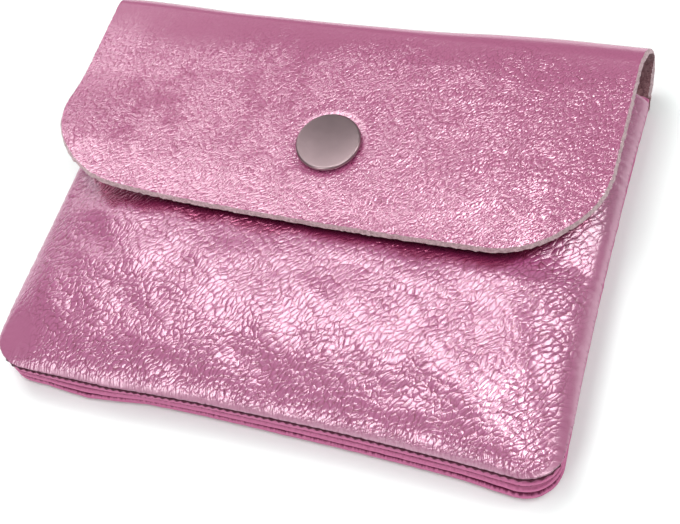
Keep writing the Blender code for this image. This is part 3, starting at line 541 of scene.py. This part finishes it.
def slopeCuts(mesh, count, i, j, columns, rows, cuts):
    # at raw edges the flesh side stands out a little, unevenly, past the foil side
    places = np.empty(len(mesh.vertices) * 3)
    mesh.vertices.foreach_get("co", places)
    places = places.reshape(-1, 3)
    index = np.empty((columns + 1, rows + 1), dtype=int)
    index[i, j] = np.arange(count)
    stepI = np.where((i == 0) & ("left" in cuts), 1, 0) - np.where((i == columns) & ("right" in cuts), 1, 0)
    stepJ = np.where((j == 0) & ("bottom" in cuts), 1, 0) - np.where((j == rows) & ("top" in cuts), 1, 0)
    edge = np.nonzero((stepI != 0) | (stepJ != 0))[0]
    inner = index[i[edge] + 2 * stepI[edge], j[edge] + 2 * stepJ[edge]]
    away = places[edge] - places[inner]
    away /= np.linalg.norm(away, axis=1)[:, None] + 1e-9
    along = (places[edge] / mm).sum(axis=1)
    slope = cutLook["mouthSlope"] if cuts == ("top",) else cutLook["slope"]
    if cuts == ("left", "right"):
        # in the fold the slope turns over from its lower half to its upper half
        slope = slope * np.clip((places[edge, 2] / mm - fold["centreZ"]) / cutLook["turnOver"], -1.0, 1.0)
    amount = slope + cutLook["jitter"] * ripples(along, 0.0, *cutLook["ripples"])
    places[count + edge] += away * amount[:, None] * mm
    mesh.vertices.foreach_set("co", places.ravel())
    mesh.update()


# Panels with turned edges

panelLook = {
    # the columns' crowding to the sides, the rows' growth to the mouth, and the hem turned in under the sheet
    "evenShare": 0.55, "rowGrowth": 1.12, "ringDepth": 0.4, "hemRise": 2.0, "hemOverFoot": 0.4,
}
noseSteps = 8
noseRadius = body["leather"]
turnedInsets = [body["turnedEdge"], 3.2, 2.0, 1.3]
beadInsets = [noseRadius - noseRadius * math.sin(math.pi * k / noseSteps) for k in range(noseSteps + 1)]
rollInsets = beadInsets[:noseSteps // 2 + 1]
edgeInsets = {
    "bead": turnedInsets + beadInsets + [1.35, 1.8, 2.4, 3.2, body["turnedEdge"]],
    "roll": turnedInsets + rollInsets + [0.03, 0.12, 0.3, 0.55, 0.9, 1.3, 1.85, 2.5, 3.4, body["turnedEdge"]],
}
noseStart = len(turnedInsets)


def panelShape(level, columns, rows, mouthOf, detail):
    # place of each grid corner of a panel whose turned edge is its outer rings
    foot = footOf(level)
    insets = np.array(edgeInsets["roll" if level == "front" else "bead"])
    edgeRings = len(insets) - 1
    noseEnd = noseStart + (noseSteps // 2 if level == "front" else noseSteps)
    inner = body["turnedEdge"]
    radius = body["cornerRadius"]

    def shapeOf(i, j):
        mirrored = np.minimum(i, columns - i)
        ring = np.minimum(np.minimum(mirrored, j), edgeRings)
        side = np.where(i * 2 < columns, -1.0, 1.0)
        across = np.clip((i - edgeRings) / (columns - 2.0 * edgeRings), 0.0, 1.0) * 2.0 - 1.0
        across = crowded(across, panelLook["evenShare"])
        along = np.clip((j - edgeRings) / (rows - edgeRings), 0.0, 1.0) ** panelLook["rowGrowth"]
        inset = insets[ring]
        y = inner + (mouthOf(across * (body["width"] / 2.0 - inner)) - inner) * along
        spread = (j - ring) / np.maximum(edgeRings - ring, 1)
        low = j < edgeRings
        y = np.where(low & (mirrored <= j), inset + (inner - inset) * spread, y)
        y = np.where(low & (j <= mirrored), inset, y)
        half = halfWidth(y)
        x = across * (half - inner)
        x = np.where(mirrored < edgeRings, side * (half - inset), x)
        slide = (mirrored - ring) / np.maximum(edgeRings - ring, 1)
        cornerX = side * ((half - inset) - (inner - inset) * slide)
        x = np.where((mirrored < edgeRings) & (j < mirrored), cornerX, x)
        # square corners to round ones, with the way along the rim and the depth from it
        overX = np.abs(x) - (half - radius)
        overY = radius - y
        inCorner, stretch = roundedCorner(overX, overY)
        bySide = half - np.abs(x) < y
        run = np.where(bySide, half - radius + radius * math.pi / 2.0 + y - radius, np.abs(x))
        bend = np.arctan2(overX, np.maximum(overY, 1e-9))
        run = side * np.where(inCorner, half - radius + radius * bend, run)
        depth = np.where(inCorner, radius - np.maximum(overX, overY), np.minimum(half - np.abs(x), y))
        depth = np.where(ring < noseEnd, (ring - noseEnd) * panelLook["ringDepth"], depth)
        x = np.where(inCorner, np.sign(x) * (half - radius + overX * stretch), x)
        y = np.where(inCorner, radius - overY * stretch, y)
        outX = np.where(inCorner, side * np.sin(bend), np.where(bySide, side, 0.0))
        outY = np.where(inCorner, -np.cos(bend), np.where(bySide, 0.0, -1.0))
        noseAngle = math.pi * (ring - noseStart) / noseSteps
        if level == "back":
            runIn = ramp(y, foldLine - fold["runIn"], fold["runIn"])
            sheetZ = body["backCrown"] * np.maximum(1.0 - pillow(x, y, body["leather"]), runIn)
            turnedZ = sheetZ + panelLook["hemRise"]
            noseZ = foot + noseRadius + noseRadius * np.cos(noseAngle)
        else:
            sheetZ = sheetTop(level, x, y)
            turnedZ = np.minimum(sheetZ - panelLook["hemRise"], foot + panelLook["hemOverFoot"])
            noseZ = foot + noseRadius - noseRadius * np.cos(noseAngle)
        z = np.where(ring < noseStart, turnedZ, np.where(ring > noseEnd, sheetZ, noseZ))
        rim = stack([run, depth])
        over = np.maximum(-depth, 0.0)
        hide = stack([x + outX * over, y + outY * over])
        points = stack([x, drawUp(x, y), z])
        calm = detail(points, ring - noseEnd, rim, stack([outX, outY]), y)
        return points, hide, rim, calm

    return shapeOf


# how far the bottom of the back and of the front is drawn in, by place across; the two between share it out
seamLook = {
    "at": [-62.0, -52.0, -47.0, -41.0, -34.0, -27.0, -13.0, -6.0, 21.0, 40.0, 46.0, 54.0, 62.0],
    "back": [0.0, 0.0, -0.5, -1.0, -0.45, 0.35, 0.5, 0.45, 0.45, 0.45, 0.4, 0.0, 0.0],
    "front": [0.3, 0.4, 0.4, 0.3, 0.1, 0.4, 0.9, 1.0, 1.5, 1.55, 1.55, 1.5, 1.4],
    "cornerPush": 0.5, "cornerPull": 0.95, "cornerReach": 9.0, "fade": 3.5,
}


def drawSeamsIn(level, points, ring, rim, out):
    look = seamLook
    share = levels[level][0] / levels["front"][0]
    x, y = points[:, 0].copy(), points[:, 1].copy()
    drawIn = (1.0 - share) * np.interp(x, look["at"], look["back"])
    drawIn += share * np.interp(x, look["at"], look["front"])
    onEdge = np.where(ring <= 0, 1.0, np.exp(-np.maximum(rim[:, 1], 0.0) / look["fade"]))
    points[:, 1] += drawIn * onEdge * np.maximum(-out[:, 1], 0.0)
    ends = (-body["width"] / 2.0, body["width"] / 2.0)
    left, right = (np.exp(-((x - end) ** 2 + y ** 2) / look["cornerReach"] ** 2) for end in ends)
    fuller = onEdge * (look["cornerPush"] * (1.0 - share) * right - look["cornerPull"] * left)
    points[:, :2] += out * fuller[:, None]


beadLook = {
    "waver": 0.10, "thickening": 0.12, "slow": 0.07, "quick": 0.45, "slowShare": 1.6, "quickShare": 0.5,
    "rings": 4.0, "calmTo": 1.4, "calmReach": 1.4,
}


def beadDetail(level):
    # a slightly wavering bead
    look = beadLook
    seed = {"back": 3.0, "rear": 11.0, "inner": 19.0}[level]

    def detail(points, ring, rim, out, flatY):
        slow = rippleAt(rim[:, 0] * look["slow"], 0.0, seed)
        quick = rippleAt(rim[:, 0] * look["quick"], 0.0, seed + 4.0)
        onBead = np.exp(-((ring + look["rings"]) / look["rings"]) ** 2)
        push = onBead * look["waver"] * (look["slowShare"] * slow + quick)
        points[:, :2] += out * push[:, None]
        points[:, 2] += onBead * look["thickening"] * (slow + look["quickShare"] * quick)
        drawSeamsIn(level, points, ring, rim, out)
        return np.exp(-(np.maximum(rim[:, 1] - look["calmTo"], 0.0) / look["calmReach"]) ** 2)

    return detail


frontLook = {
    # pairs of start and reach are those of a soft rise
    # the roll hangs out over the seams along the right side, and gathers
    "hang": 0.0, "hangLeft": 0.2, "hangRight": 0.65, "sag": 0.35, "sagReach": 1.2, "sideFrom": 16.0,
    "roll": (-6.0, 4.0), "rollReach": 3.5, "slow": 0.07, "waver": 0.35, "sagWaver": 0.3,
    "gather": 0.14, "gatherRise": 1.2, "gatherIn": (0.0, 1.5),
    "folds": ((0.75, 0.08), (1.3, 0.1), 0.6, (27.0, 32.0)),
    # soft swelling of the sheet
    "sheet": (0.0, 4.0), "swell": 0.95, "waves": ((0.045, 0.06), (0.10, 0.13), 0.5, (41.0, 47.0)),
    "wrinkle": 0.25, "wrinkles": (0.16, 0.05), "wrinkleSlant": 0.6,
    # the crown's reach on the left and from the bottom, where the pocket is emptier
    "leftReach": 32.0, "bottomReach": 36.0, "risen": (56.0, 16.0),
    # pressed in under the flap, and drawn in at the snap
    "underFlap": (39.5, 8.5), "underFlapDrop": 1.7, "dent": 3.03, "dentFall": (9.5, 9.0),
    # smooth leather along the edges and in the left corner
    "calmReach": 1.6, "calmRight": 2.6, "calmRightFrom": 9.0,
    "calmCorner": (-60.0, 7.0), "calmCornerReach": 13.0,
}


def frontDetail(points, ring, rim, out, flatY):
    look = frontLook
    run, depth = rim.T
    x, y = points[:, 0].copy(), points[:, 1].copy()
    inwards = np.maximum(depth, 0.0)
    # roll over the seam
    onRoll = np.where(ring < 0, ramp(ring, *look["roll"]), np.exp(-inwards / look["rollReach"]))
    bottom = smoothStep(1.0 - flatY / look["sideFrom"])
    hangSide = np.where(x < 0.0, look["hangLeft"], look["hangRight"])
    hang = onRoll * (hangSide + (look["hang"] - hangSide) * bottom)
    gather = ripples(run, depth, *look["folds"])
    slow = rippleAt(run * look["slow"], 0.0, 36.0)
    push = hang * (1.0 + look["waver"] * slow) + onRoll * look["gather"] * gather
    points[:, :2] += out * push[:, None]
    sag = look["sag"] * (1.0 - bottom) * (1.0 + look["sagWaver"] * slow)
    points[:, 2] -= sag * np.where(ring <= 0, onRoll, onRoll * np.exp(-inwards / look["sagReach"]))
    points[:, 2] += onRoll * ramp(depth, *look["gatherIn"]) * look["gatherRise"] * look["gather"] * gather
    # undulating sheet, pressed in under the flap and drawn in at the snap
    sheet = ramp(depth, *look["sheet"])
    open_ = pillow(x, flatY, 0.0)
    covered = ramp(y, *look["underFlap"])
    waves = ripples(x, y, *look["waves"])
    slant, (over, beside) = look["wrinkleSlant"], look["wrinkles"]
    diagonal = rippleAt((x * slant + y) * over, (x - y * slant) * beside, 53.0)
    uneven = look["swell"] * waves + look["wrinkle"] * diagonal
    points[:, 2] += sheet * open_ * (1.0 - covered) * uneven
    points[:, 2] -= sheet * open_ * covered * (1.0 - risen(y)) * look["underFlapDrop"]
    away = np.hypot(x, flatY - snapY)
    points[:, 2] -= sheet * look["dent"] * (1.0 - ramp(away, *look["dentFall"]))
    drawSeamsIn("front", points, ring, rim, out)
    cornerX, cornerY = look["calmCorner"]
    leftCorner = smoothStep(1.0 - np.hypot(x - cornerX, flatY - cornerY) / look["calmCornerReach"])
    wide = (x > 0.0) & (flatY > look["calmRightFrom"])
    reach = np.where(wide, look["calmRight"], look["calmReach"])
    return np.maximum(np.exp(-(inwards / reach) ** 2), leftCorner)


seamThread = {
    "thickness": {"rear": 0.34, "inner": 0.38, "front": 0.85},
    "inset": {"rear": 0.45, "inner": 0.40, "front": 0.10},
    "stitch": 1.7, "dip": 0.35, "sunk": 0.15, "cornerSteps": 12, "roundness": 2,
}


def threadLine(level):
    # down the left side, along the bottom and up the right side, in the valley under this level's bead
    half, radius = body["width"] / 2.0, body["cornerRadius"]
    inset = seamThread["inset"][level]
    drops = np.arange(frontMouth, radius, -seamThread["stitch"] / 2.0)
    left = [(-halfWidth(y) + inset, y, -1.0, 0.0) for y in drops]
    turns = np.linspace(0.0, math.pi / 2.0, seamThread["cornerSteps"])
    reach = radius - inset
    outwards = [(-math.cos(turn), -math.sin(turn)) for turn in turns]
    corner = [(radius - half + reach * outX, radius + reach * outY, outX, outY) for outX, outY in outwards]
    across = np.arange(radius - half, half - radius, seamThread["stitch"] / 2.0)[1:]
    bottom = [(x, inset, 0.0, -1.0) for x in across]
    mirrored = [(-x, y, -outX, outY) for x, y, outX, outY in reversed(left + corner)]
    line = np.array(left + corner + bottom + mirrored)
    height = np.full(len(line), footOf(level) - seamThread["sunk"])
    points = stack([line[:, 0], drawUp(line[:, 0], line[:, 1]), height])
    rim = stack([line[:, 0], np.zeros(len(line))])
    drawSeamsIn(level, points, np.zeros(len(line)), rim, line[:, 2:])
    stitches = np.where(np.arange(len(line)) % 2 == 0, 0.0, seamThread["dip"])
    points[:, :2] -= line[:, 2:] * stitches[:, None]
    points[:, 1] -= halfHeight
    return points * mm


def makeSeamThread(node, level):
    deselectAll()
    points = threadLine(level)
    bpy.ops.curve.primitive_nurbs_path_add(radius=1.0, location=(0.0, 0.0, 0.0))
    thread = bpy.context.object
    curve = thread.data
    curve.splines.clear()
    spline = curve.splines.new("POLY")
    spline.points.add(len(points) - 1)
    spline.points.foreach_set("co", stack([points, np.ones(len(points))]).ravel())
    curve.dimensions = "3D"
    curve.bevel_depth = seamThread["thickness"][level] / 2.0 * mm
    curve.bevel_resolution = seamThread["roundness"]
    curve.use_fill_caps = True
    bpy.ops.object.convert(target="MESH")
    thread = bpy.context.object
    thread.name = node + "_twist"
    bpy.ops.object.shade_smooth()
    thread.data.materials.append(finishes["thread"])
    ridesOn(thread, "body", "thread", node)


def straightMouth(height):
    return lambda x: height + 0.0 * x


def zipMouth(x):
    beside = ramp(np.abs(x), *body["zipCut"])
    low = rearMouth - body["zipMouthDrop"]
    return low + (frontMouth - low) * beside


def ridesOn(piece, bodyName, slot, *nodes):
    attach(piece, bodyName)
    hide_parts(*nodes)


frontGrid, innerGrid = (240, 180), (170, 110)
frontShape = panelShape("front", *frontGrid, straightMouth(frontMouth), frontDetail)
frontPanel = sheetObject("front_panel_leather", *frontGrid, frontShape, "foilFront", ("top",))
ridesOn(frontPanel, "body", "foil_leather", "front_panel")
innerPanels = {
    "inner": ("inner_panel_front", zipMouth),
    "rear": ("inner_panel_rear", straightMouth(rearMouth)),
}
for level, (node, mouth) in innerPanels.items():
    shape = panelShape(level, *innerGrid, mouth, beadDetail(level))
    panel = sheetObject(node + "_leather", *innerGrid, shape, "foilRoll", ("top",))
    ridesOn(panel, "body", "foil_leather", node)
print("pocket panels made")
seamThreads = {"seam_thread_rear": "rear", "seam_thread_middle": "inner", "seam_thread_front": "front"}
for node, level in seamThreads.items():
    makeSeamThread(node, level)
print("seam threads made")


# The hide that is back, fold and flap: its pieces meet in the middle of the fold's strips

slackX = np.arange(fold["slackAt"][0], -fold["slackAt"][0] + 1.0)  # every millimetre
slackSpread = np.hanning(fold["slackBlend"] + 2)[1:-1]
slackPadded = np.pad(np.interp(slackX, fold["slackAt"], fold["slack"]), fold["slackBlend"] // 2, "edge")
slackCurve = np.convolve(slackPadded, slackSpread / slackSpread.sum(), "valid")


def foldPlace(x, turn):
    slack = np.interp(x, slackX, slackCurve)
    reach = body["foldRadius"] - slack * np.sin(turn / 2.0) ** 2
    y = foldLine + reach * np.sin(turn)
    z = fold["centreZ"] - body["foldRadius"] * np.cos(turn) + 0.0 * x
    return y, z


def foldPoints(across, turn):
    # across runs from 0 at the left to 1 at the right
    share = turn / math.pi
    left = -fold["left"] - (flap["left"] - fold["left"]) * share
    right = fold["right"] + (flap["right"] - fold["right"]) * share
    right = right + fold["rightFlare"] * np.sin(turn) ** 2
    x = left + (right - left) * across
    y, z = foldPlace(x, turn)
    arc = foldLine + body["foldRadius"] * turn + 0.0 * x
    ends = np.where(across <= 0.0, -1.0, 0.0) + np.where(across >= 1.0, 1.0, 0.0)
    x = x + ends * fold["fray"] * ripples(arc, ends, *fold["frays"])
    hide = stack([x, arc])
    return stack([x, y, z]), hide


stripArc = math.pi / 4.0
backArc = stripArc / 2.0
hideRows = {"back": 110, "arc": 10, "strip": 24, "columns": 170, "arcCalm": 0.5}


def backShape(i, j):
    # the back panel, then the fold's first strip up to its middle
    rows, columns = hideRows["back"], hideRows["columns"]
    panel = panelShape("back", columns, rows, straightMouth(foldLine), beadDetail("back"))
    points, hide, rim, calm = panel(i, np.minimum(j, rows))
    onArc = j > rows
    # the hem ends here, and the hide goes on with a raw edge
    mirrored = np.minimum(i, columns - i)
    noseEnd = noseStart + noseSteps
    half = halfWidth(foldLine)
    hemX = np.where(i * 2 < columns, -1.0, 1.0) * (half - noseRadius + (noseEnd - mirrored) / noseEnd)
    across = (np.where(mirrored <= noseEnd, hemX, points[:, 0]) + half) / (2.0 * half)
    arcPoints, arcHide = foldPoints(across, (j - rows) / hideRows["arc"] * backArc)
    points = np.where(onArc[:, None], arcPoints, points)
    hide = np.where(onArc[:, None], arcHide, hide)
    return points, hide, rim, np.where(onArc, hideRows["arcCalm"], calm)


flapLook = {
    "columns": 220, "rows": 120, "arcRows": 10, "evenShare": 0.7, "evenRowShare": 0.75,
    "fray": 0.18, "frays": ((1.3, 1.3), (3.1, 3.1), 0.7, (61.0, 67.0)), "frayRowShare": 0.4,
    "swell": 0.10, "waves": ((0.05, 0.07), (0.12, 0.15), 0.5, (71.0, 77.0)), "rimSwellShare": 0.4,
    "settled": (8.0, 9.0), "rimReach": 12.0, "foldBlend": 9.0, "cushion": 0.30, "cushionRise": (7.6, 1.6),
    # smooth leather near the fold, with a ragged start that comes later on the right
    "calm": 0.80, "calmFrom": 12.0, "calmBlend": 11.0, "calmLater": 5.0, "laterRise": (5.0, 25.0),
    "ragged": 8.0, "raggedScale": 0.05,
}
farFromRim = 50.0


def flapShape(i, j):
    look = flapLook
    columns, rows, arcRows = look["columns"], look["rows"], look["arcRows"]
    centre = (flap["right"] - flap["left"]) / 2.0
    half = (flap["right"] + flap["left"]) / 2.0
    across = crowded(i / columns * 2.0 - 1.0, look["evenShare"])
    onArc = j > rows
    along = np.clip(j / rows, 0.0, 1.0)
    along = look["evenRowShare"] * along + (1.0 - look["evenRowShare"]) * along ** 2
    edge = foldLine - flap["reach"]
    x = centre + across * half
    y = edge + flap["reach"] * along
    radius = flap["leftCorner"] + (flap["rightCorner"] - flap["leftCorner"]) * (across + 1.0) / 2.0
    overX = np.abs(x - centre) - (half - radius)
    overY = edge + radius - y
    inCorner, stretch = roundedCorner(overX, overY)
    x = np.where(inCorner, centre + np.sign(x - centre) * (half - radius + overX * stretch), x)
    y = np.where(inCorner, edge + radius - overY * stretch, y)
    y = y + flap["bow"] * across * across * (foldLine - y) / flap["reach"]
    z = flapBottom(x, y) + body["leather"]
    atRim = (i == 0) | (i == columns) | (j == 0)
    fray = look["fray"] * ripples(x, y, *look["frays"])
    x = x + np.where(atRim & (j > 0), np.sign(x - centre) * fray, 0.0)
    y = y + np.where(atRim & (j < rows * look["frayRowShare"]), fray, 0.0)
    fromRim = np.minimum(half - np.abs(x - centre), y - edge)
    inside = smoothStep(fromRim / look["rimReach"])
    away = np.hypot(x, y - snapY)
    swelling = look["rimSwellShare"] + (1.0 - look["rimSwellShare"]) * inside
    z = z + look["swell"] * ramp(away, *look["settled"]) * swelling * ripples(x, y, *look["waves"])
    z = z + look["cushion"] * inside * ramp(away, *look["cushionRise"])
    # settle onto the fold over the last few millimetres
    blend = ramp(y, foldLine - look["foldBlend"], look["foldBlend"])
    z = z * (1.0 - blend) + (flapUnder + body["leather"]) * blend
    # the fold's end of the grid keeps the straight edges of the fold
    turn = math.pi - (j - rows) / arcRows * backArc
    straight, straightHide = foldPoints((x - centre + half) / (2.0 * half), turn)
    points = np.where(onArc[:, None], straight, stack([x, y, z]))
    hideStart = foldLine + body["foldRadius"] * math.pi
    hide = stack([x, hideStart + foldLine - y])
    hide = np.where(onArc[:, None], straightHide, hide)
    scale = look["raggedScale"]
    ragged = look["ragged"] * rippleAt(points[:, 0] * scale, points[:, 1] * scale, 95.0)
    start = foldLine - look["calmFrom"] + look["calmLater"] * ramp(points[:, 0], *look["laterRise"])
    calm = look["calm"] * smoothStep((points[:, 1] - start + ragged) / look["calmBlend"])
    return points, hide, np.full((len(x), 2), farFromRim), calm


def stripShape(first, rows):
    # a quarter of the half loop, between two of the meeting lines
    def shapeOf(i, j):
        points, hide = foldPoints(i / hideRows["columns"], first + j / rows * stripArc)
        return points, hide, np.full((len(i), 2), farFromRim), fold["calm"]

    return shapeOf


def atTurn(turn):
    y, z = foldPlace(0.0, turn)
    return (0.0, (float(y) - halfHeight) * mm, float(z) * mm)


bendHalf = math.radians(fold["bendHalf"])
backPiece = sheetObject(
    "back_leather", hideRows["columns"], hideRows["back"] + hideRows["arc"], backShape, "foilRoll", (),
    outward=False
)
atTurn(bendHalf)
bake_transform(backPiece)
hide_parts("back_panel", "fold_strip_1")
for number in (1, 2, 3):
    middle = number * stripArc
    strip = sheetObject(
        "fold_leather_" + str(number), hideRows["columns"], hideRows["strip"],
        stripShape(middle - stripArc / 2.0, hideRows["strip"]), "foilFlap", ("left", "right"),
        outward=False, skin=body["leather"]
    )
    atTurn(middle - bendHalf)
    atTurn(middle + bendHalf)
    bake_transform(strip)
    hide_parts("fold_strip_" + str(number + 1))
flapPiece = sheetObject(
    "flap_leather", flapLook["columns"], flapLook["rows"] + flapLook["arcRows"], flapShape, "foilFlap",
    ("left", "right", "bottom"), skin=body["leather"]
)
atTurn(math.pi - bendHalf)
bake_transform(flapPiece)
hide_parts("flap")
print("back, fold and flap made")


# Snap cap

capLook = {
    "radius": 7.5, "height": 1.3, "dome": 0.16, "around": 96, "rings": 8, "topFacing": 0.9,
    "rimShare": 0.85, "rimSegments": 6, "rimAngle": 50.0, "smoothAngle": 60.0,
}


def snapCap():
    look = capLook
    low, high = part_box("snap_cap")
    centre = ((low[0] + high[0]) / 2.0, (low[1] + high[1]) / 2.0)
    radius = look["radius"] * mm
    foot = high[2] - look["height"] * mm
    side = (look["height"] - look["dome"]) * mm
    deselectAll()
    bpy.ops.mesh.primitive_cylinder_add(
        vertices=look["around"], radius=radius, depth=side,
        location=(*centre, foot + side / 2.0)
    )
    piece = bpy.context.object
    piece.name = "snap_cap_shell"
    bpy.ops.object.transform_apply(location=True, rotation=True, scale=True)
    top = foot + side
    for face in piece.data.polygons:
        face.select = face.normal.z > look["topFacing"]
    bpy.ops.object.mode_set(mode="EDIT")
    bpy.ops.mesh.select_mode(type="FACE")
    for step in range(look["rings"]):
        bpy.ops.mesh.inset(thickness=radius / (look["rings"] + 1.0), depth=0.0)
    bpy.ops.object.mode_set(mode="OBJECT")
    for vertex in piece.data.vertices:
        if vertex.co.z > top - 1e-6:
            share = math.hypot(vertex.co.x - centre[0], vertex.co.y - centre[1]) / radius
            vertex.co.z = top + look["dome"] * mm * (1.0 - share * share)
    rim = piece.modifiers.new("rim", "BEVEL")
    rim.width = side * look["rimShare"]
    rim.segments = look["rimSegments"]
    rim.limit_method = "ANGLE"
    rim.angle_limit = math.radians(look["rimAngle"])
    bpy.ops.object.modifier_apply(modifier=rim.name)
    bpy.ops.object.shade_smooth_by_angle(angle=math.radians(look["smoothAngle"]))
    piece.data.materials.append(finishes["satinNickel"])
    ridesOn(piece, "flap", "satin_nickel", "snap_cap")


snapCap()
print("snap cap made")


# Finishes on the pieces that stay as they are

nodeFinishes = {
    "satinNickel": ["snap_socket", "snap_stud", "snap_stud_post"],
    "zipNickel": [
        "zip_teeth_upper", "zip_teeth_lower", "zip_slider", "zip_pull",
        "zip_top_stop_upper", "zip_top_stop_lower", "zip_bottom_stop",
    ],
    "springSteel": ["snap_ring_spring"],
    "tape": ["zip_tape_upper", "zip_tape_lower"],
    "thread": ["zip_stitching_upper", "zip_stitching_lower"],
}
for finish, nodes in nodeFinishes.items():
    for node in nodes:
        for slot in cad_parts[node].material_slots:
            slot.material = finishes[finish]
print("nodes finished")


# Floor, light, camera

studio = {
    "floor": (0.94, 0.985, 0.97), "floorGlow": 0.04, "floorRoughness": 0.9,
    "floorSize": 6.0, "floorDrop": 0.0002,  # metres
    "world": 0.29,
}
viewpoint = {
    # what the camera looks at on the table, from how far, and how it is turned, in degrees
    "lookAt": (4.93, -7.75, 0.0), "distance": 275.31,
    "azimuth": 37.32, "elevation": 58.36, "roll": -22.75,
    "focalPixels": 1200.0, "imageWidthPixels": 680.0, "sensorWidth": 36.0,
    "nearest": 0.01,  # metres
}
lamps = {
    # direction, distance, size, brightness of the panel, and whether the foil and metal mirror it
    "shadowLamp": ((-0.34, 0.39, 0.86), 1.20, 0.43, 6.2, False),
    "overheadLamp": ((-0.27, 0.04, 0.96), 0.80, 0.38, 3.2, True),
    "frontRightLamp": ((0.34, -0.17, 0.92), 0.85, 0.30, 6.0, True),
    "flapLeftLamp": ((-0.50, 0.36, 0.79), 0.90, 0.15, 2.6, True),
    "flapRightLamp": ((-0.08, 0.40, 0.91), 0.90, 0.15, 6.4, True),
    "frontLamp": ((-0.25, -0.80, 0.50), 0.90, 0.40, 3.4, True),
    "backLeftLamp": ((-0.74, 0.53, 0.40), 0.95, 0.42, 1.2, True),
    "rightLamp": ((0.62, 0.38, 0.68), 0.90, 0.36, 3.6, True),
}


def makeFloor():
    deselectAll()
    bpy.ops.mesh.primitive_plane_add(size=studio["floorSize"], location=(0.0, 0.0, -studio["floorDrop"]))
    floor = bpy.context.object
    floor.name = "floor"
    paint = Paint("floorPaint")
    seen = paint.add("ShaderNodeLightPath", output="Is Camera Ray")
    for kind in ("Is Glossy Ray", "Is Transmission Ray"):
        seen = seen.orMore(paint.add("ShaderNodeLightPath", output=kind))
    glow = paint.mix(seen, (0.0, 0.0, 0.0), (1.0, 1.0, 1.0))
    paint.finish({
        "Base Color": studio["floor"],
        "Roughness": studio["floorRoughness"],
        "Emission Color": glow,
        "Emission Strength": studio["floorGlow"],
    })
    floor.data.materials.append(paint.material)


def makeWorld():
    world = bpy.data.worlds.new("studio")
    bpy.context.scene.world = world
    world.use_nodes = True
    room = world.node_tree.nodes["Background"]
    room.inputs["Color"].default_value = (1.0, 1.0, 1.0, 1.0)
    room.inputs["Strength"].default_value = studio["world"]


def intoScene(name, data):
    thing = bpy.data.objects.new(name, data)
    bpy.context.scene.collection.objects.link(thing)
    return thing


def makeLamps():
    for name, (direction, distance, size, brightness, mirrored) in lamps.items():
        light = bpy.data.lights.new(name, "AREA")
        light.shape = "SQUARE"
        light.size = size
        light.energy = brightness * math.pi * size * size
        lamp = intoScene(name, light)
        lamp.location = Vector(direction).normalized() * distance
        lamp.rotation_euler = (-lamp.location).to_track_quat("-Z", "Y").to_euler()
        lamp.visible_glossy = mirrored


def makeCamera():
    camera = bpy.data.cameras.new("camera")
    camera.sensor_width = viewpoint["sensorWidth"]
    camera.lens = viewpoint["focalPixels"] / viewpoint["imageWidthPixels"] * viewpoint["sensorWidth"]
    camera.clip_start = viewpoint["nearest"]
    eye = intoScene("camera", camera)
    turn = Matrix.Rotation(math.radians(viewpoint["azimuth"]), 4, "Z")
    turn = turn @ Matrix.Rotation(math.radians(90.0 - viewpoint["elevation"]), 4, "X")
    turn = turn @ Matrix.Rotation(math.radians(viewpoint["roll"]), 4, "Z")
    away = turn @ Vector((0.0, 0.0, viewpoint["distance"]))
    eye.matrix_world = Matrix.Translation((Vector(viewpoint["lookAt"]) + away) * mm) @ turn
    bpy.context.scene.camera = eye


makeFloor()
makeWorld()
makeLamps()
makeCamera()
bpy.context.scene.view_settings.view_transform = "Standard"
print("studio made")
